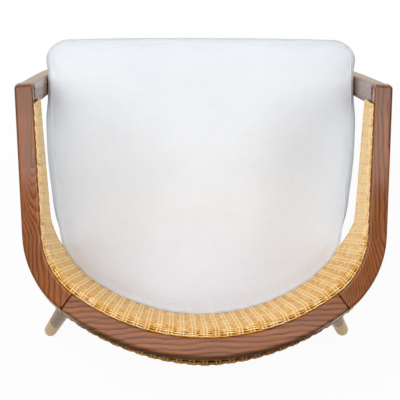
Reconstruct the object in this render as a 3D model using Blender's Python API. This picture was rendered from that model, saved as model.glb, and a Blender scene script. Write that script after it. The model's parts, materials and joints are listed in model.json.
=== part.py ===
"""Cane back dining chair with a horseshoe top rail, a double shell of woven cane and a seat cushion.

Metres, +Z up. The chair's front is towards -Y, the sitter's left is +X, and the feet stand on z = 0.
Angles called turn are the heading of a plan curve's outward normal, measured from +Y.
"""

import math

import bmesh
import bpy
from mathutils import Vector

# Clearances
GAP = 0.0003
OVERRUN = 0.002

# Top rail, in a plane that rises towards the back
RAIL_RISE = math.radians(15)
ARM_TOP_Z = 0.665
ARM_FRONT_Y = -0.166
BACK_APEX_Y = 0.2147
BACK_RADIUS = 0.331
SEAM_TURN = math.radians(36)
CORNER_RADIUS = 0.120
ARM_TURN = math.radians(85)
RAIL_WIDTH = 0.028
RAIL_DEPTH = 0.032
RAIL_EDGE_RADIUS = 0.0035
SEAM_CHAMFER = 0.0008
ARM_END_RADIUS = 0.009
ARM_END_INSET_SHARE = 0.26
RAIL_EDGE_STEPS = 3
ARM_END_STEPS = 5

# Dowels of the rail's two seams
DOWEL_DIAMETER = 0.006
DOWEL_LENGTH = 0.036
DOWEL_BELOW = 0.010
DOWEL_OUT_SHARES = (0.28, 0.72)

# Legs
POST_WIDTH = 0.029
POST_DEPTH = 0.037
POST_SQUARENESS = 4.5
FRONT_RAKE = math.radians(10.3)
FOOT_Y = 0.267
REAR_FOOT_SPLAY = 0.086
FOOT_DIAMETER = 0.025
ANKLE_DIAMETER = 0.0265
THIGH_SHARE = 0.62
FRONT_RING_SHARES = (0.25, 0.45, THIGH_SHARE, 0.8)
REAR_RING_SHARES = (0.4, 0.62, 0.85)
REAR_SWELL_SHARE = 0.9
REAR_LEG_DIAMETER = 0.031
REAR_POST_DIAMETER = 0.026
REAR_POST_OUT = 0.017
REAR_POST_PAST_SEAM = 0.0105
KNEE_ROUNDING = 0.018
TENON_DIAMETER = 0.014
TENON_LENGTH = 0.014

# Ferrules and glides
FERRULE_LENGTH = 0.080
FERRULE_WALL = 0.0012
GLIDE_HEIGHT = 0.004
GLIDE_INSET = 0.0015
SPIGOT_LENGTH = 0.008
SPIGOT_ROOM = 0.001

# Seat frame, board and cushion
SEAT_CLEARANCE = 0.0145
SEAT_BACK_TIGHTER = 0.021
SEAT_BACK_RADIUS = BACK_RADIUS - SEAT_BACK_TIGHTER
SEAT_BACK_TURN = math.radians(33)
SEAT_CORNER_EASE = 0.050
SEAT_CORNER_RADIUS = CORNER_RADIUS + SEAT_CORNER_EASE
SEAT_CORNER_TURN = math.radians(76)
SEAT_SIDE_RADIUS = 0.720
SEAT_SIDE_TURN = math.radians(88)
SEAT_FRONT_Y = -0.2685
SEAT_FRONT_CORNER_RADIUS = 0.042
SEAT_FRONT_BOW = math.radians(1.4)
SEAT_RAIL_INSET = 0.003
SEAT_RAIL_THICKNESS = 0.024
SEAT_RAIL_HEIGHT = 0.045
SEAT_RAIL_EDGE = 0.002
SEAT_RAIL_EDGE_STEPS = 1
FRONT_RAIL_CORNER_STEPS = 6
SEAT_JOINT_TURN = math.radians(55)
REAR_RAIL_REACH = 0.024
FRAME_DOWEL_DIAMETER = 0.012
FRAME_DOWEL_LENGTH = 0.036
CORNER_BLOCK_SIDE = 0.030
BOARD_THICKNESS = 0.012
BOARD_INSET = 0.008
CUSHION_BASE_Z = 0.410
CUSHION_EDGE = 0.049
CUSHION_CROWN = 0.016
CUSHION_CROWN_POWER = 2.6
CUSHION_PINCH_LENGTH = 0.045
CUSHION_POST_CLEARANCE = 0.0012

# Bolts and screws
BOLT_DIAMETER = 0.006
BOLT_HEAD_DIAMETER = 0.012
BOLT_HEAD_HEIGHT = 0.004
BOLT_GRIP_SHARE = 0.55
BOLT_HEIGHT_SHARES = (0.2, 0.8)
SCREW_DIAMETER = 0.004
SCREW_HEAD_DIAMETER = 0.008
SCREW_LENGTH = 0.030
SCREW_BACK_SHARE = 0.4
SCREW_SIDE_SHARE = 0.45
SCREW_FRONT_SHARE = 0.5

# Woven shell
WEAVE_THICKNESS = 0.003
INNER_BULGE = 0.0087
INNER_ROLL_DEPTH = 0.022
INNER_TOP_DROP_BACK = 0.0022
INNER_TOP_DROP_ARM = 0.0045
OUTER_BULGE = 0.009
OUTER_ROLL_DEPTH = 0.012
OUTER_BULGE_TURN = math.radians(75)
OUTER_TOP_INSET = 0.0005
OUTER_TAPER_SHARE = 0.35
BULGE_FULL_TURN = math.radians(45)
BULGE_END_TURN = math.radians(83)
TUCK_START_TURN = math.radians(62)
ARM_EDGE_Z = 0.597
EDGE_SWEEP_ANGLE = math.radians(73)
EDGE_SWEEP_RADIUS = 0.026
EDGE_SWEEP_PAST_CORNER = -0.012
SWEEP_MARK_SHARES = (0, 0.12, 0.35, 0.65, 1)
BAND_MARK_SHARES = (0.33, 0.67, 1)

# Poles inside the shell
POLE_DIAMETER = 0.022
UPRIGHT_DIAMETER = 0.012
BACK_UPRIGHT = 0.104
UPRIGHT_ARM_SHARE = 0.45
STILE_SETBACK = 0.009

# Fineness of the curved surfaces
TURN_STEP = math.radians(4.5)
LINE_STEP = 0.040
LEAST_STEP = 0.002
ROUND_SIDES = 20
SMALL_SIDES = 12
OVAL_SIDES = 24
SHARP = math.radians(38)

SIDES = (("left", 1), ("right", -1))

# Outlines as shares of the sizes they follow: (sideways share, downward share)
ROLL_SHARES = ((0.40, 0.14), (0.75, 0.42), (1.0, 1.0))
TAPER_SHARES = ((0.97, 1.0), (0.80, 0.66), (0.35, 0.28))

# The cushion's section as shares of its edge height: (inset share, height share), then its top's rings
CUSHION_SIDE_SHARES = (
    (0.18, 0.0),
    (0.07, 0.04),
    (0.015, 0.22),
    (0.0, 0.5),
    (0.025, 0.8),
    (0.085, 0.95),
    (0.125, 0.96),
    (0.165, 1.0),
)
CUSHION_TOP_SHARES = (0.95, 0.84, 0.66, 0.44, 0.2)


def outward(turn):
    return Vector((math.sin(turn), math.cos(turn)))


def forward(turn):
    return Vector((math.cos(turn), -math.sin(turn)))


def mix(low, high, share):
    return low + (high - low) * share


def smooth(low, high, value):
    share = min(max((value - low) / (high - low), 0), 1)
    return share * share * (3 - 2 * share)


class Track:
    """A plan curve that starts at its apex at the back and runs round the +X side to the front.

    A place on it is a distance from the apex, and a negative distance is the mirrored place at -X.
    """

    def __init__(self, apex_y):
        self.runs = []
        self.marks = [0.0]
        self.length = 0.0
        self.point = Vector((0.0, apex_y))
        self.turn = 0.0

    def add(self, radius, length, steps):
        self.runs.append((self.length, length, self.point, self.turn, radius))
        for step in range(steps):
            self.marks.append(self.length + length * (step + 1) / steps)
        self.length += length

    def arc(self, radius, end_turn):
        swept = end_turn - self.turn
        self.add(radius, radius * swept, math.ceil(swept / TURN_STEP))
        self.point = self.point + radius * (outward(end_turn) - outward(self.turn))
        self.turn = end_turn
        return self

    def line(self, length):
        self.add(0, length, math.ceil(length / LINE_STEP))
        self.point = self.point + length * forward(self.turn)
        return self

    def at(self, distance):
        for start, length, point, turn, radius in self.runs:
            if distance <= start + length:
                break
        along = distance - start
        if radius:
            end_turn = turn + min(along, length) / radius
            point = point + radius * (outward(end_turn) - outward(turn))
            turn = end_turn
            along = max(0, along - length)
        return point + along * forward(turn), turn

    def turn_at(self, distance):
        return self.at(abs(distance))[1]

    def place(self, distance, out=0.0):
        point, turn = self.at(abs(distance))
        point = point + out * outward(turn)
        return Vector((math.copysign(1, distance) * point.x, point.y))

    def distance_at_turn(self, turn):
        for start, length, _, first, radius in self.runs:
            if radius and turn <= first + length / radius:
                return start + (turn - first) * radius
        return self.length

    def stations(self, start, end):
        signed = sorted({side * mark for side in (-1, 1) for mark in self.marks})
        inside = [mark for mark in signed if start + LEAST_STEP < mark < end - LEAST_STEP]
        return [start, *inside, end]


RAIL = Track(BACK_APEX_Y).arc(BACK_RADIUS, SEAM_TURN).arc(CORNER_RADIUS, ARM_TURN)
ARM_START = RAIL.length
ARM_LENGTH = (RAIL.point.y - ARM_FRONT_Y) / math.sin(ARM_TURN)
RAIL.line(ARM_LENGTH)
SEAM = RAIL.distance_at_turn(SEAM_TURN)

SEAT = Track(BACK_APEX_Y - SEAT_CLEARANCE).arc(SEAT_BACK_RADIUS, SEAT_BACK_TURN)
SEAT.arc(SEAT_CORNER_RADIUS, SEAT_CORNER_TURN).arc(SEAT_SIDE_RADIUS, SEAT_SIDE_TURN)
SEAT_SIDE_START = SEAT.length
SEAT_CORNER_REACH = SEAT_FRONT_CORNER_RADIUS * (math.cos(SEAT_FRONT_BOW) + math.cos(SEAT_SIDE_TURN))
SEAT_BOW_DEPTH = SEAT.point.x * math.tan(SEAT_FRONT_BOW / 2)
SEAT_LINE = SEAT.point.y - SEAT_FRONT_Y - SEAT_CORNER_REACH - SEAT_BOW_DEPTH
SEAT.line(SEAT_LINE / math.sin(SEAT_SIDE_TURN))
SEAT.arc(SEAT_FRONT_CORNER_RADIUS, math.pi - SEAT_FRONT_BOW)
SEAT.arc(SEAT.point.x / math.sin(SEAT_FRONT_BOW), math.pi)
SEAT_JOINT = SEAT.distance_at_turn(SEAT_JOINT_TURN)

# Heights of the seat, from the cushion down
BOARD_TOP_Z = CUSHION_BASE_Z - GAP
BOARD_BASE_Z = BOARD_TOP_Z - BOARD_THICKNESS
SEAT_RAIL_TOP_Z = BOARD_BASE_Z - GAP
SEAT_RAIL_BASE_Z = SEAT_RAIL_TOP_Z - SEAT_RAIL_HEIGHT
SHELL_BASE_Z = SEAT_RAIL_TOP_Z + GAP
FRONT_RAIL_BACK_Y = SEAT_FRONT_Y + SEAT_RAIL_INSET + SEAT_RAIL_THICKNESS

# Directions and centre lines of the legs
DOWN_RAIL = Vector((0, math.sin(RAIL_RISE), -math.cos(RAIL_RISE)))
FRONT_AXIS = Vector((0, math.sin(FRONT_RAKE), math.cos(FRONT_RAKE)))
REAR_POST = SEAM + REAR_POST_PAST_SEAM
REAR_POST_PLACE = RAIL.place(REAR_POST, REAR_POST_OUT)


def arm_distance_at_y(y):
    return ARM_START + (RAIL.place(ARM_START).y - y) / math.sin(ARM_TURN)


def rail_top_z(y):
    return ARM_TOP_Z + (y - ARM_FRONT_Y) * math.tan(RAIL_RISE)


def rail_under_z(y):
    return rail_top_z(y) - RAIL_DEPTH / math.cos(RAIL_RISE)


def rail_point(distance, out, below):
    x, y = RAIL.place(distance, out)
    return Vector((x, y, rail_top_z(y))) + below * DOWN_RAIL


def front_foot(side):
    """The foot's centre, under an arm whose middle line the leg meets at the rail's underside."""
    rise = rail_under_z(ARM_FRONT_Y)
    post_y = -FOOT_Y + rise * math.tan(FRONT_RAKE)
    return Vector((side * RAIL.place(arm_distance_at_y(post_y), RAIL_WIDTH / 2).x, -FOOT_Y, 0))


def post_back_y(z):
    """Y of the front post's rear face at a height."""
    return -FOOT_Y + z * math.tan(FRONT_RAKE) + POST_DEPTH / 2 / math.cos(FRONT_RAKE)


def material(name, colour, roughness, metallic=0.0):
    made = bpy.data.materials.new(name)
    made.use_nodes = True
    shader = made.node_tree.nodes["Principled BSDF"]
    shader.inputs["Base Color"].default_value = (*colour, 1)
    shader.inputs["Roughness"].default_value = roughness
    shader.inputs["Metallic"].default_value = metallic
    return made


def skin(mesh, rings, tube=False):
    """Joins rings of points into one closed body, with flat ends, or end to end as a tube wall."""
    rows = [[mesh.verts.new(point) for point in ring] for ring in rings]
    if tube:
        pairs = zip(rows, rows[1:] + rows[:1])
    else:
        pairs = zip(rows, rows[1:])
        mesh.faces.new(rows[0])
        mesh.faces.new(rows[-1])
    for low, high in pairs:
        for place, corner in enumerate(low):
            after = (place + 1) % len(low)
            mesh.faces.new((corner, low[after], high[after], high[place]))


def finish(name, mesh, look, helper=False):
    """Turns a mesh under construction into an object; a helper only cuts others."""
    bmesh.ops.recalc_face_normals(mesh, faces=mesh.faces)
    data = bpy.data.meshes.new(name)
    mesh.to_mesh(data)
    mesh.free()
    data.shade_smooth()
    data.set_sharp_from_angle(angle=SHARP)
    made = bpy.data.objects.new(name, data)
    bpy.context.scene.collection.objects.link(made)
    if helper:
        made.hide_render = True
        made.display_type = "WIRE"
    else:
        made.data.materials.append(look)
        made.parent = bpy.data.objects["chair_origin"]
    return made


def cut(target, *cutters):
    for cutter in cutters:
        modifier = target.modifiers.new("cut_" + cutter.name, "BOOLEAN")
        modifier.operation = "DIFFERENCE"
        modifier.solver = "EXACT"
        modifier.object = cutter


def rounded(low, high, base, top, radius, steps):
    """Corner points of an upright rectangle whose corners are rounded, in order round it."""
    points = []
    corners = ((high, top, -1, -1), (low, top, 1, -1), (low, base, 1, 1), (high, base, -1, 1))
    for quarter, (x, y, inward_x, inward_y) in enumerate(corners):
        for step in range(steps + 1):
            angle = (quarter + step / steps) * math.pi / 2
            centre_x = x + inward_x * radius
            centre_y = y + inward_y * radius
            points.append((centre_x + radius * math.cos(angle), centre_y + radius * math.sin(angle)))
    return points


def across(axis):
    """Two directions square to an axis."""
    reference = Vector((0, 1, 0)) if abs(axis.y) < abs(axis.z) + abs(axis.x) else Vector((1, 0, 0))
    first = reference.cross(axis).normalized()
    return first, axis.cross(first).normalized()


def circle(centre, axis, radius, sides=ROUND_SIDES):
    first, second = across(axis)
    angles = [2 * math.pi * side / sides for side in range(sides)]
    return [centre + radius * (math.cos(a) * first + math.sin(a) * second) for a in angles]


def oval(centre, axis, width, depth, squareness):
    """A ring between an ellipse, at squareness 2, and a rectangle, at a high one."""
    first, second = across(axis)
    points = []
    for side in range(OVAL_SIDES):
        angle = math.pi * (2 * side + 1) / OVAL_SIDES
        x, y = math.cos(angle), math.sin(angle)
        x = math.copysign(abs(x) ** (2 / squareness), x) * width / 2
        y = math.copysign(abs(y) ** (2 / squareness), y) * depth / 2
        points.append(centre + x * first + y * second)
    return points


def slide(points, axis, plane_point, normal):
    """Moves points along an axis onto a plane."""
    return [p + axis * ((plane_point - p).dot(normal) / axis.dot(normal)) for p in points]


def level(points, axis, z):
    return slide(points, axis, Vector((0, 0, z)), Vector((0, 0, 1)))


def under_rail(points, axis, clearance=GAP):
    """Moves points along an axis onto the top rail's underside, less a clearance."""
    plane_point = Vector((0, ARM_FRONT_Y, rail_under_z(ARM_FRONT_Y))) + clearance * DOWN_RAIL
    return slide(points, axis, plane_point, DOWN_RAIL)


def rod(mesh, start, end, diameter, sides=SMALL_SIDES):
    axis = (end - start).normalized()
    skin(mesh, [circle(point, axis, diameter / 2, sides) for point in (start, end)])


def tube(mesh, points, diameter, sides=SMALL_SIDES):
    """A round pole along points, its ends square to it."""
    rings = []
    for place, point in enumerate(points):
        before = points[max(place - 1, 0)]
        after = points[min(place + 1, len(points) - 1)]
        axis = (after - before).normalized()
        side = axis.cross(Vector((0, 0, 1))).normalized()
        up = side.cross(axis)
        angles = [2 * math.pi * step / sides for step in range(sides)]
        rings.append([point + diameter / 2 * (math.cos(a) * side + math.sin(a) * up) for a in angles])
    skin(mesh, rings)


# Top rail
def rail_ring(distance, inset=0.0):
    outline = rounded(inset, RAIL_WIDTH - inset, inset, RAIL_DEPTH - inset, RAIL_EDGE_RADIUS, RAIL_EDGE_STEPS)
    return [rail_point(distance, out, below) for out, below in outline]


def arm_end_rings(side):
    """The arm's front end: a quarter round down from the top face, then flush with the raked post."""
    lean = math.tan(RAIL_RISE + FRONT_RAKE)
    flat_end = ARM_START + ARM_LENGTH - ARM_END_RADIUS + ARM_END_RADIUS * lean
    outline = rounded(0, RAIL_WIDTH, 0, RAIL_DEPTH, RAIL_EDGE_RADIUS, RAIL_EDGE_STEPS)
    rings = []
    for step in range(ARM_END_STEPS + 1):
        angle = math.pi / 2 * step / ARM_END_STEPS
        rounding = math.sin(angle)
        drop_share = (1 - math.cos(angle)) * ARM_END_RADIUS / RAIL_DEPTH
        narrow = 1 - ARM_END_INSET_SHARE * (1 - math.cos(angle))
        ring = []
        for out, below in outline:
            lowered = mix(below, RAIL_DEPTH, drop_share)
            distance = flat_end + rounding * (ARM_END_RADIUS + lean * (lowered - ARM_END_RADIUS))
            aside = RAIL_WIDTH / 2 + (out - RAIL_WIDTH / 2) * narrow
            ring.append(rail_point(side * distance, aside, lowered))
        rings.append(ring)
    return rings, flat_end


def build_back_rail(look):
    end = SEAM - GAP / 2
    flat = end - SEAM_CHAMFER
    rings = [rail_ring(distance) for distance in RAIL.stations(-flat, flat)]
    rings = [rail_ring(-end, SEAM_CHAMFER), *rings, rail_ring(end, SEAM_CHAMFER)]
    mesh = bmesh.new()
    skin(mesh, rings)
    return finish("back_rail", mesh, look)


def build_arm_rail(name, side, look):
    start = SEAM + GAP / 2
    end_rings, flat_end = arm_end_rings(side)
    rings = [rail_ring(side * distance) for distance in RAIL.stations(start + SEAM_CHAMFER, flat_end)]
    rings = [rail_ring(side * start, SEAM_CHAMFER), *rings[:-1], *end_rings]
    mesh = bmesh.new()
    skin(mesh, rings)
    return finish(name, mesh, look)


def seam_dowel_ends(side, share, length):
    """The two ends of a dowel that crosses a seam square to it."""
    middle = rail_point(side * SEAM, share * RAIL_WIDTH, DOWEL_BELOW)
    ahead = rail_point(side * (SEAM + LEAST_STEP), share * RAIL_WIDTH, DOWEL_BELOW)
    before = rail_point(side * (SEAM - LEAST_STEP), share * RAIL_WIDTH, DOWEL_BELOW)
    half = (ahead - before).normalized() * length / 2
    return middle - half, middle + half


def build_seam_dowels(look):
    for word, side in SIDES:
        for number, share in enumerate(DOWEL_OUT_SHARES, 1):
            mesh = bmesh.new()
            rod(mesh, *seam_dowel_ends(side, share, DOWEL_LENGTH), DOWEL_DIAMETER)
            finish(f"seam_dowel_{word}_{number}", mesh, look)


def build_rail_bores():
    """Holes for the seam dowels, and mortises for the tenons on the four posts."""
    mesh = bmesh.new()
    room = 2 * GAP
    for side in (-1, 1):
        for share in DOWEL_OUT_SHARES:
            rod(mesh, *seam_dowel_ends(side, share, DOWEL_LENGTH + 2 * room), DOWEL_DIAMETER + room)
        for axis, centre in ((FRONT_AXIS, front_foot(side)), (Vector((0, 0, 1)), rear_post(side))):
            outline = circle(centre, axis, TENON_DIAMETER / 2 + GAP)
            start = under_rail(outline, axis, OVERRUN)
            end = under_rail(outline, axis, -TENON_LENGTH - room)
            skin(mesh, [start, end])
    return finish("rail_bores", mesh, None, helper=True)


# Legs
def rear_post(side):
    return Vector((side * REAR_POST_PLACE.x, REAR_POST_PLACE.y, 0))


def rear_foot(side):
    return Vector((side * (REAR_POST_PLACE.x + REAR_FOOT_SPLAY), FOOT_Y, 0))


def ankle_rings(foot, axis, grow):
    """The leg's lower end: a tenon inside the ferrule, then the shoulder on the ferrule's top."""
    inside = FOOT_DIAMETER / 2 - FERRULE_WALL - GAP
    inside_top = ANKLE_DIAMETER / 2 - FERRULE_WALL - GAP
    shoulder = foot + axis * (FERRULE_LENGTH + GAP)
    end_z = GLIDE_HEIGHT + SPIGOT_LENGTH + SPIGOT_ROOM
    low = level(oval(foot, axis, 2 * inside, 2 * inside, 2), axis, end_z)
    neck = oval(shoulder, axis, 2 * inside_top, 2 * inside_top, 2)
    wide = ANKLE_DIAMETER + 2 * grow
    return [low, neck, oval(shoulder, axis, wide, wide, 2)]


def tenon_rings(centre, axis):
    outline = oval(centre, axis, TENON_DIAMETER, TENON_DIAMETER, 2)
    return [under_rail(outline, axis), under_rail(outline, axis, -TENON_LENGTH)]


def front_leg_rings(side, grow=0.0):
    """A round ankle that swells into a squared post, raked forward, up to the arm's underside."""
    foot = front_foot(side)
    top = under_rail([foot], FRONT_AXIS)[0]
    length = (top - foot).length
    rings = ankle_rings(foot, FRONT_AXIS, grow)
    for share in FRONT_RING_SHARES:
        full = smooth(0, THIGH_SHARE, share)
        width = mix(ANKLE_DIAMETER, POST_WIDTH, full) + 2 * grow
        depth = mix(ANKLE_DIAMETER, POST_DEPTH, full) + 2 * grow
        squareness = mix(2, POST_SQUARENESS, full)
        rings.append(oval(foot + FRONT_AXIS * length * share, FRONT_AXIS, width, depth, squareness))
    end = oval(top, FRONT_AXIS, POST_WIDTH + 2 * grow, POST_DEPTH + 2 * grow, POST_SQUARENESS)
    rings.append(under_rail(end, FRONT_AXIS))
    return rings


def rear_leg_rings(side, grow=0.0):
    """A raked round leg, a rounded knee under the seat frame, and a slimmer upright post."""
    foot = rear_foot(side)
    upright = Vector((0, 0, 1))
    knee = rear_post(side) + Vector((0, 0, SEAT_RAIL_BASE_Z - KNEE_ROUNDING))
    knee_distance = (knee - foot).length
    axis = (knee - foot).normalized()
    rings = ankle_rings(foot, axis, grow)
    for share in REAR_RING_SHARES:
        wide = mix(ANKLE_DIAMETER, REAR_LEG_DIAMETER, smooth(0, REAR_SWELL_SHARE, share)) + 2 * grow
        rings.append(oval(foot + axis * knee_distance * share, axis, wide, wide, 2))
    bend = (axis + upright).normalized()
    wide = (REAR_LEG_DIAMETER + REAR_POST_DIAMETER) / 2 + 2 * grow
    rings.append(oval(knee, bend, wide, wide, 2))
    slim = REAR_POST_DIAMETER + 2 * grow
    rings.append(oval(knee + upright * KNEE_ROUNDING, upright, slim, slim, 2))
    top = oval(rear_post(side), upright, slim, slim, 2)
    rings.append(under_rail(top, upright))
    return rings


def build_legs(look):
    legs = {}
    for word, side in SIDES:
        for end, rings, centre, axis in (
            ("front", front_leg_rings(side), front_foot(side), FRONT_AXIS),
            ("rear", rear_leg_rings(side), rear_post(side), Vector((0, 0, 1))),
        ):
            mesh = bmesh.new()
            skin(mesh, rings + tenon_rings(centre, axis))
            legs[end, side] = finish(f"{end}_leg_{word}", mesh, look)
    return legs


def build_leg_clearances():
    """The posts a little larger, to cut the pieces that house them."""
    made = {}
    for word, side in SIDES:
        for end, rings in (("front", front_leg_rings(side, GAP)), ("rear", rear_leg_rings(side, GAP))):
            mesh = bmesh.new()
            skin(mesh, rings[2:])
            made[end, side] = finish(f"{end}_leg_room_{word}", mesh, None, helper=True)
    return made


def leg_axis(end, side):
    if end == "front":
        return front_foot(side), FRONT_AXIS
    knee = rear_post(side) + Vector((0, 0, SEAT_RAIL_BASE_Z - KNEE_ROUNDING))
    return rear_foot(side), (knee - rear_foot(side)).normalized()


def build_ferrule(name, foot, axis, look):
    """A tapered brass sleeve, its top square to the leg and its bottom level."""
    top = foot + axis * FERRULE_LENGTH
    low = level(circle(foot, axis, FOOT_DIAMETER / 2), axis, GLIDE_HEIGHT)
    low_inside = level(circle(foot, axis, FOOT_DIAMETER / 2 - FERRULE_WALL), axis, GLIDE_HEIGHT)
    high = circle(top, axis, ANKLE_DIAMETER / 2)
    high_inside = circle(top, axis, ANKLE_DIAMETER / 2 - FERRULE_WALL)
    mesh = bmesh.new()
    skin(mesh, [low, high, high_inside, low_inside], tube=True)
    return finish(name, mesh, look)


def build_glide(name, foot, axis, look):
    """A plastic pad whose spigot plugs into the ferrule."""
    pad = circle(foot, axis, FOOT_DIAMETER / 2 - GLIDE_INSET / 2)
    pad_base = circle(foot, axis, FOOT_DIAMETER / 2 - GLIDE_INSET)
    spigot = circle(foot, axis, FOOT_DIAMETER / 2 - FERRULE_WALL - GAP)
    pad_top = GLIDE_HEIGHT - GAP
    rings = [level(pad_base, axis, 0), level(pad, axis, pad_top / 2), level(pad, axis, pad_top)]
    rings.append(level(spigot, axis, pad_top))
    rings.append(level(spigot, axis, GLIDE_HEIGHT + SPIGOT_LENGTH))
    mesh = bmesh.new()
    skin(mesh, rings)
    return finish(name, mesh, look)


def build_feet(brass, plastic):
    for word, side in SIDES:
        for end in ("front", "rear"):
            foot, axis = leg_axis(end, side)
            build_ferrule(f"ferrule_{end}_{word}", foot, axis, brass)
            build_glide(f"glide_{end}_{word}", foot, axis, plastic)


# Seat frame
def seat_ring(distance, out_low, out_high):
    low, high, steps = SEAT_RAIL_BASE_Z, SEAT_RAIL_TOP_Z, SEAT_RAIL_EDGE_STEPS
    outline = rounded(out_low, out_high, low, high, SEAT_RAIL_EDGE, steps)
    return [Vector((*SEAT.place(distance, out), z)) for out, z in outline]


def seat_distance_at_y(y):
    start = SEAT.at(SEAT_SIDE_START)[0]
    return SEAT_SIDE_START + (start.y - y) / math.sin(SEAT_SIDE_TURN)


def side_rail_front():
    """Distance along the seat's outline at which a side rail meets the front rail."""
    return seat_distance_at_y(FRONT_RAIL_BACK_Y + GAP)


def build_seat_rails(look):
    inside = -SEAT_RAIL_INSET - SEAT_RAIL_THICKNESS
    rails = {}
    mesh = bmesh.new()
    places = SEAT.stations(-SEAT_JOINT, SEAT_JOINT)
    skin(mesh, [seat_ring(place, inside, REAR_RAIL_REACH) for place in places])
    rails["back"] = finish("seat_rail_back", mesh, look)
    for word, side in SIDES:
        mesh = bmesh.new()
        places = SEAT.stations(SEAT_JOINT + GAP, side_rail_front())
        rings = [seat_ring(side * place, inside, -SEAT_RAIL_INSET) for place in places[:-1]]
        flush = seat_ring(side * places[-1], inside, -SEAT_RAIL_INSET)
        rings.append([Vector((point.x, FRONT_RAIL_BACK_Y + GAP, point.z)) for point in flush])
        skin(mesh, rings)
        rails[word] = finish(f"seat_rail_{word}", mesh, look)
    rails["front"] = build_front_rail(look)
    return rails


def build_front_rail(look):
    """A straight rail across the front whose outer corners are rounded in plan."""
    half = SEAT.place(side_rail_front(), -SEAT_RAIL_INSET).x
    low_y = SEAT_FRONT_Y + SEAT_RAIL_INSET
    radius = SEAT_RAIL_THICKNESS - SEAT_RAIL_EDGE
    corner = []
    for step in range(FRONT_RAIL_CORNER_STEPS + 1):
        angle = math.pi / 2 * step / FRONT_RAIL_CORNER_STEPS
        corner.append((half - radius + radius * math.cos(angle), low_y + radius - radius * math.sin(angle)))
    outline = [(half, FRONT_RAIL_BACK_Y), *corner]
    outline += [(-x, y) for x, y in reversed(outline)]
    mesh = bmesh.new()
    skin(mesh, [[Vector((x, y, z)) for x, y in outline] for z in (SEAT_RAIL_BASE_Z, SEAT_RAIL_TOP_Z)])
    return finish("seat_rail_front", mesh, look)


def build_corner_blocks(look):
    """Triangular blocks glued into the two front corners of the frame."""
    inside = -SEAT_RAIL_INSET - SEAT_RAIL_THICKNESS - GAP
    front = side_rail_front()
    for word, side in SIDES:
        corner = SEAT.place(side * front, inside)
        corner.y = FRONT_RAIL_BACK_Y + GAP
        along_side = SEAT.place(side * (front - CORNER_BLOCK_SIDE), inside)
        along_front = corner - Vector((side * CORNER_BLOCK_SIDE, 0))
        outline = [corner, along_side, along_front]
        heights = (SEAT_RAIL_BASE_Z + SEAT_RAIL_EDGE, SEAT_RAIL_TOP_Z - SEAT_RAIL_EDGE)
        mesh = bmesh.new()
        skin(mesh, [[Vector((*point, z)) for point in outline] for z in heights])
        finish(f"corner_block_{word}", mesh, look)


def frame_dowel_ends(side, length):
    z = (SEAT_RAIL_BASE_Z + SEAT_RAIL_TOP_Z) / 2
    middle = SEAT.place(side * SEAT_JOINT, -SEAT_RAIL_INSET - SEAT_RAIL_THICKNESS / 2)
    heading = forward(SEAT_JOINT_TURN) * length / 2
    half = Vector((side * heading.x, heading.y, 0))
    return Vector((*middle, z)) - half, Vector((*middle, z)) + half


def build_frame_dowels(look):
    for word, side in SIDES:
        mesh = bmesh.new()
        rod(mesh, *frame_dowel_ends(side, FRAME_DOWEL_LENGTH), FRAME_DOWEL_DIAMETER)
        finish(f"frame_dowel_{word}", mesh, look)


def bolt_lines():
    """(name, start, direction, length) of each bolt's shank, from the frame's inner face to a leg."""
    lines = []
    bolt_distance = SEAT.distance_at_turn(rear_bolt_turn())
    for number, share in enumerate(BOLT_HEIGHT_SHARES, 1):
        z = mix(SEAT_RAIL_BASE_Z, SEAT_RAIL_TOP_Z, share)
        for word, side in SIDES:
            foot = front_foot(side)
            post = Vector((foot.x, foot.y + z * math.tan(FRONT_RAKE), z))
            inner = SEAT.place(seat_distance_at_y(post.y), -SEAT_RAIL_INSET - SEAT_RAIL_THICKNESS)
            start = Vector((side * inner.x, post.y, z))
            reach = abs(post.x - start.x) - POST_WIDTH / 2
            name = f"leg_bolt_front_{word}_{number}"
            lines.append((name, start, Vector((side, 0, 0)), reach + BOLT_GRIP_SHARE * POST_WIDTH))
            start = SEAT.place(side * bolt_distance, -SEAT_RAIL_INSET - SEAT_RAIL_THICKNESS)
            post = rear_post(side)
            reach = (post.xy - start).length - REAR_POST_DIAMETER / 2
            direction = Vector((*(post.xy - start).normalized(), 0))
            grip = BOLT_GRIP_SHARE * REAR_POST_DIAMETER
            name = f"leg_bolt_rear_{word}_{number}"
            lines.append((name, Vector((*start, z)), direction, reach + grip))
    return lines


def rear_bolt_turn():
    """The turn of the seat's corner arc whose normal points at the rear post."""
    corner_end = SEAT.at(SEAT.distance_at_turn(SEAT_CORNER_TURN))[0]
    centre = corner_end - SEAT_CORNER_RADIUS * outward(SEAT_CORNER_TURN)
    line = REAR_POST_PLACE - centre
    return math.atan2(line.x, line.y)


def build_bolts(look):
    for name, start, direction, length in bolt_lines():
        head = start - direction * (GAP + BOLT_HEAD_HEIGHT)
        seat = start - direction * GAP
        rings = [circle(head, direction, BOLT_HEAD_DIAMETER / 2, SMALL_SIDES)]
        rings.append(circle(seat, direction, BOLT_HEAD_DIAMETER / 2, SMALL_SIDES))
        rings.append(circle(seat, direction, BOLT_DIAMETER / 2, SMALL_SIDES))
        rings.append(circle(start + direction * length, direction, BOLT_DIAMETER / 2, SMALL_SIDES))
        mesh = bmesh.new()
        skin(mesh, rings)
        finish(name, mesh, look)


def build_frame_bores():
    mesh = bmesh.new()
    room = 2 * GAP
    for _, start, direction, length in bolt_lines():
        inner = start - direction * OVERRUN
        rod(mesh, inner, start + direction * (length + room), BOLT_DIAMETER + room)
    for side in (1, -1):
        rod(mesh, *frame_dowel_ends(side, FRAME_DOWEL_LENGTH + 2 * room), FRAME_DOWEL_DIAMETER + room)
    return finish("frame_bores", mesh, None, helper=True)


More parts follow.
